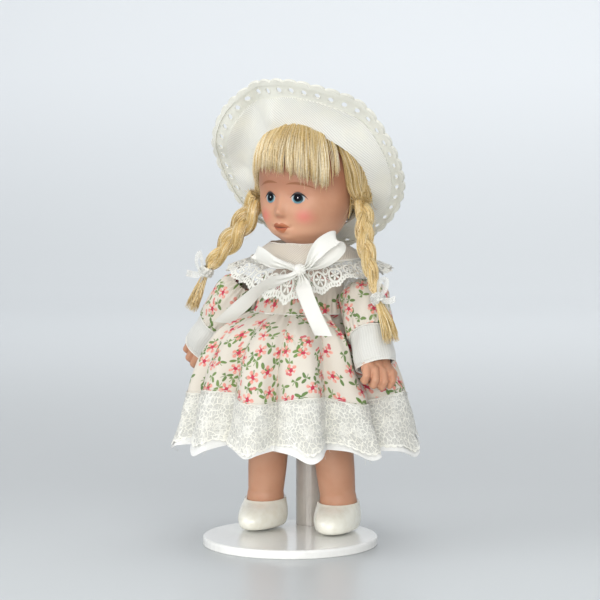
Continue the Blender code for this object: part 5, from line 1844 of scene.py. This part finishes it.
def closed_loft(points):
    """Rows of a wrapped grid with both ends drawn in to a point, as a stuffed shape's are."""
    first, last = points[0].mean(axis=0), points[-1].mean(axis=0)
    start = [first + (points[0] - first) * k for k in (0.02, 0.4, 0.75)]
    end = [last + (points[-1] - last) * k for k in (0.75, 0.4, 0.02)]
    return np.concatenate([np.stack(start), points, np.stack(end)])


def build_torso():
    sections = [(59.9, 11.6, 4.8, 10.4), (62, 13.2, 6.4, 10.4), (68, 13.1, 6.9, 10.0), (75, 11.9, 6.9, 10.0),
                (82, 11.5, 6.9, 10.8), (89, 11.3, 6.9, 12.4), (93.3, 9.3, 6.1, 13.6)]
    cols = 96
    angle = np.arange(cols) / cols * TURN
    heights = np.linspace(59.9, 93.3, 60)
    z, a = np.meshgrid(heights, angle, indexing="ij")
    wide = curve([(s[0], s[1]) for s in sections], z)
    deep = curve([(s[0], s[2]) for s in sections], z)
    centre = curve([(s[0], s[3]) for s in sections], z)
    seam = 0.35 * (bump(np.cos(a), 1, 0.02) + bump(np.cos(a), -1, 0.02))
    lump = 0.10 * np.sin(3 * a + 0.5 * z) + 0.08 * np.sin(7 * a - 0.9 * z)
    points = np.stack([(wide - seam + lump) * np.cos(a), centre + (deep - seam + lump) * np.sin(a), z], -1)
    obj = surface("torso_stuffed", closed_loft(points), "doll", MUSLIN, "torso", wrap=True)


HIP = np.array([9.5, 10.5, 64.0])
ANKLE = np.array([13.8, 13.0, 13.7])
SOLE = 3.7


def build_leg(side):
    sign = SIDES[side]
    hip, ankle = HIP * np.array([sign, 1, 1]), ANKLE * np.array([sign, 1, 1])
    body = f"leg_{side}"
    cloth = [(0.135, 3.0, 3.2), (0.18, 5.1, 5.3), (0.28, 6.4, 6.6), (0.395, 6.4, 6.6)]
    points, _ = limb_surface(hip, ankle, cloth, 64, 30, lambda s, a: 0.12 * np.sin(5 * a + 20 * s))
    obj = surface(
        f"upper_leg_stuffed_{side}", closed_loft(points), body, MUSLIN, f"upper_leg_{side}", wrap=True
    )

    start = hip + (ankle - hip) * 0.41
    shape = [
        (0.0, 6.4, 6.6), (0.3, 7.0, 7.25), (0.62, 6.9, 7.1), (0.88, 6.5, 6.6), (1.0, 6.6, 6.9),
        (1.03, 6.6, 6.9)
    ]

    def skin(s, a):
        # A soft knee and the crease above the ankle.
        knee = 0.32 * bump(s, 0.16, 0.08) * np.clip(-np.sin(a), 0, 1) ** 2
        return knee - 0.16 * bump(s, 0.90, 0.03)

    points, _ = limb_surface(start, ankle, shape, 72, 60, skin)
    obj = surface(
        f"lower_leg_bisque_{side}", closed_loft(points), body, PORCELAIN, f"lower_leg_{side}", wrap=True
    )

    # The moulded shoe: sections up from the sole, then its top edge turned in to the ankle.
    sections = [
        (0.0, 5.6, 4.6, 12.8), (0.25, 6.5, 5.6, 14.2), (0.8, 7.2, 6.4, 15.3),
        (2.0, 7.8, 7.1, 16.2), (3.2, 8.1, 7.5, 16.4),
        (5.0, 8.2, 7.7, 15.7), (6.4, 8.1, 7.75, 14.2), (7.6, 7.95, 7.75, 12.2),
        (8.8, 7.7, 7.7, 9.9), (9.7, 7.55, 7.6, 8.3),
        (10.2, 7.35, 7.45, 7.75),
    ]
    cols = 120
    turn = np.arange(cols) / cols * TURN
    levels = np.concatenate([[0.0, 0.1, 0.25, 0.5], np.linspace(0.8, 9.7, 34), [9.95, 10.15, 10.2]])
    z, a = np.meshgrid(levels, turn, indexing="ij")
    wide = curve([(s[0], s[1]) for s in sections], z)
    heel = curve([(s[0], s[2]) for s in sections], z)
    toe = curve([(s[0], s[3]) for s in sections], z)
    reach = np.where(np.sin(a) > 0, heel, toe)
    # The toe is rounder than an ellipse.
    wide = wide * (1 + 0.05 * np.clip(-np.sin(2 * a + math.pi / 2), 0, 1))
    x, y = wide * np.cos(a), reach * np.sin(a)
    turn_out = math.radians(4 * sign)
    c, s = math.cos(turn_out), math.sin(turn_out)
    top = z + 0.55 * smoothstep(7.0, 10.2, z) * np.sin(a)
    points = np.stack([ankle[0] + x * c - y * s, ankle[1] + x * s + y * c, SOLE + top], -1)
    rim = points[-1]
    middle = np.array([ankle[0], ankle[1], rim[:, 2].mean()])
    inner = middle + (rim - middle) * np.array([0.90, 0.90, 1.0]) - np.array([0, 0, 0.35])
    floor = points[0].mean(axis=0)
    cap = [floor + (points[0] - floor) * k for k in (0.02, 0.5)]
    points = np.concatenate([np.stack(cap), points, inner[None]])
    build_name = f"moulded_shoe_{side}"
    surface(build_name, points, body, SHOE, f"lower_leg_{side}", wrap=True)


def capsule(a, b, ra, rb, sides=14, rows=10):
    """A rounded bar between two points."""
    a, b = np.array(a, float), np.array(b, float)
    along = unit(b - a)
    reference = np.array([0, 0, 1.0]) if abs(along[2]) < 0.9 else np.array([1.0, 0, 0])
    across = unit(np.cross(along, reference))
    other = np.cross(along, across)
    rings = []
    for k in range(rows):
        lat = -math.pi / 2 + math.pi / 2 * k / (rows - 1)
        rings.append((a + along * ra * math.sin(lat), max(ra * math.cos(lat), 0.01)))
    for k in range(rows):
        lat = math.pi / 2 * k / (rows - 1)
        rings.append((b + along * rb * math.sin(lat), max(rb * math.cos(lat), 0.01)))
    turn = np.arange(sides) / sides * TURN
    points = np.array(
        [c + across * r * np.cos(turn)[:, None] + other * r * np.sin(turn)[:, None] for c, r in rings]
    )
    rows_total = len(rings)
    faces = grid_faces(rows_total, sides, wrap=True)
    return points, faces


def build_arm(side):
    shoulder, fist = SHOULDERS[side], FISTS[side]
    sign = SIDES[side]
    body = f"arm_{side}"
    cloth = [(0.03, 2.5, 2.5), (0.1, 3.8, 3.8), (0.4, 3.7, 3.7), (0.49, 3.3, 3.3)]
    points, _ = limb_surface(shoulder, fist, cloth, 48, 30, lambda s, a: 0.08 * np.sin(5 * a + 20 * s))
    obj = surface(
        f"upper_arm_stuffed_{side}", closed_loft(points), body, MUSLIN, f"upper_arm_{side}", wrap=True
    )

    # Hand axes: down the arm, outward across the knuckles, and to the palm.
    down = unit(fist - shoulder)
    knuckle = unit(np.cross(down, np.array([-0.25 * sign, -0.2, 1.0])) * sign)
    view = np.array([0.62 * sign, -0.72, 0.0]) if side == "left" else np.array([-0.5, -0.8, 0.0])
    back = unit(view - down * (view @ down))
    knuckle = np.cross(down, back) * sign
    length = np.linalg.norm(fist - shoulder)

    def at(d, k, b):
        return fist + down * (d - 0.5) + knuckle * k * 1.42 + back * b * 1.1

    bars = [
        capsule(shoulder + down * length * 0.52, at(-5.4, 0, 0), 2.8, 3.0),
        capsule(at(-5.4, 0, 0), at(-2.0, 0.2, 0), 3.2, 3.6),
        capsule(at(-3.0, -1.8, 0.3), at(0.4, -2.2, 0.3), 3.1, 2.7),
        capsule(at(-3.0, 1.8, 0.3), at(0.4, 2.2, 0.3), 3.1, 2.7),
    ]
    # Four fingers side by side, bent toward the palm, and the thumb across them.
    for k, (offset, reach, thick) in enumerate((
        (-3.55, 4.2, 1.42), (-1.22, 5.3, 1.55), (1.15, 5.2, 1.55), (3.45, 4.1, 1.40)
    )):
        joint = at(1.2, offset * 0.95, 1.35)
        middle = at(reach, offset, 0.85)
        tip = at(reach + 0.9, offset * 0.95, -0.8)
        end = at(reach - 0.6, offset * 0.9, -2.0)
        bars.append(capsule(at(-1.4, offset * 0.62, 0.7), joint, thick * 1.1, thick))
        bars.append(capsule(joint, middle, thick, thick * 0.97))
        bars.append(capsule(middle, tip, thick * 0.97, thick * 0.9))
        bars.append(capsule(tip, end, thick * 0.9, thick * 0.85))
    bars.append(capsule(at(-2.6, -3.0, 0.2), at(-0.2, -4.9, -0.5), 1.7, 1.45))
    bars.append(capsule(at(-0.2, -4.9, -0.5), at(2.4, -4.6, -1.4), 1.45, 1.2))
    points, faces = join(bars)
    obj = build(f"forearm_bisque_{side}", points, faces, body, PORCELAIN, f"forearm_{side}")
    remesh = obj.modifiers.new("one_body", "REMESH")
    remesh.mode = "VOXEL"
    remesh.voxel_size = 0.28 * MM
    remesh.use_smooth_shade = True
    relax = obj.modifiers.new("soften", "SMOOTH")
    relax.factor = 0.5
    relax.iterations = 3


build_torso()
for side_name in SIDES:
    build_leg(side_name)
    build_arm(side_name)


# ---------------------------------------------------------------- studio


def build_studio():
    """A pale sweep: a floor that curves up into a backdrop behind the doll."""
    depth = np.concatenate([
        np.linspace(-900, 900, 10), 900 + 500 * np.sin(np.linspace(0.1, math.pi / 2, 14))
    ])
    rise = np.concatenate([np.zeros(10), 500 - 500 * np.cos(np.linspace(0.1, math.pi / 2, 14))])
    depth = np.append(depth, 1400.0)
    rise = np.append(rise, 2200.0)
    view_turn = math.radians(20)
    across = np.linspace(-2400, 2400, 8)
    d, x = np.meshgrid(depth, across, indexing="ij")
    h = np.broadcast_to(rise[:, None], d.shape)
    away = np.array([-math.sin(view_turn), math.cos(view_turn)])
    right = np.array([math.cos(view_turn), math.sin(view_turn)])
    points = np.stack([x * right[0] + d * away[0], x * right[1] + d * away[1], h - 0.02], -1)
    kit = Kit("studio_sweep", (0.72, 0.735, 0.75), 0.32, Specular_IOR_Level=0.35)
    at = kit.place()
    haze = kit.noise(at, 0.004, 2.0)
    px, py, height = kit.split(at)
    # Painted light and shade on the sweep: the floor is lighter in front of the doll, darkest just behind it
    # and lighter again further back, and the backdrop grows lighter with height.
    behind = py * 0.95 - px * 0.31
    floor = kit.mix(kit.smooth(behind, -120.0, 160.0), (0.54, 0.565, 0.57), (0.40, 0.415, 0.42))
    floor = kit.mix(kit.smooth(behind, 200.0, 900.0), floor, (0.62, 0.645, 0.66))
    wall = kit.mix(kit.smooth(height, 0.0, 190.0), floor, (0.78, 0.81, 0.835))
    kit.set("Base Color", kit.mix(haze * 0.10, wall, (0.62, 0.64, 0.66)))
    kit.set("Roughness", 0.30)
    mesh_points = points.reshape(-1, 3) * MM
    mesh = bpy.data.meshes.new("sweep")
    mesh.from_pydata(mesh_points.tolist(), [], grid_faces(*points.shape[:2]).tolist())
    for face in mesh.polygons:
        face.use_smooth = True
    mesh.materials.append(kit.material)
    obj = bpy.data.objects.new("sweep", mesh)
    bpy.context.scene.collection.objects.link(obj)


def add_light(name, at, size, power, colour=(1, 1, 1), target=(0, 10, 90)):
    light = bpy.data.lights.new(name, "AREA")
    light.shape = "RECTANGLE"
    light.size, light.size_y = size
    light.energy = power
    light.color = colour
    obj = bpy.data.objects.new(name, light)
    obj.location = Vector(at)
    way = Vector(target) * MM - obj.location
    obj.rotation_euler = way.to_track_quat("-Z", "Y").to_euler()
    bpy.context.scene.collection.objects.link(obj)


def add_camera():
    turn, pitch, distance = math.radians(18.3), math.radians(5.03), 0.8896
    target = Vector((0.0003, 0.0101, 0.0858))
    way = Vector((math.sin(turn) * math.cos(pitch), -math.cos(turn) * math.cos(pitch), math.sin(pitch)))
    data = bpy.data.cameras.new("camera")
    data.lens = 150.0
    data.sensor_width = 36.0
    data.clip_start = 0.05
    obj = bpy.data.objects.new("camera", data)
    obj.location = target + way * distance
    look = (-way).to_track_quat("-Z", "Y")
    obj.rotation_euler = look.to_euler()
    bpy.context.scene.collection.objects.link(obj)
    bpy.context.scene.camera = obj


build_studio()
add_light("key", (0.55, -0.80, 0.90), (0.7, 0.7), 3.6)
add_light("fill", (-0.9, -0.6, 0.5), (0.8, 0.8), 5.0, (0.98, 0.99, 1.0))
add_light("front", (0.20, -1.15, 0.20), (1.0, 0.35), 7.4, (1.0, 0.985, 0.95), target=(0, 10, 60))
add_light("top", (0.0, 0.25, 1.2), (1.0, 1.0), 5.0)
add_light("back", (0.1, 0.75, 0.7), (1.2, 0.5), 3.0, target=(0, 900, 300))
add_camera()

world = bpy.data.worlds.new("studio")
world.use_nodes = True
world.node_tree.nodes["Background"].inputs["Color"].default_value = (0.95, 0.97, 1.0, 1.0)
world.node_tree.nodes["Background"].inputs["Strength"].default_value = 0.48
bpy.context.scene.world = world
bpy.context.scene.view_settings.view_transform = "Standard"
bpy.context.scene.view_settings.look = "None"
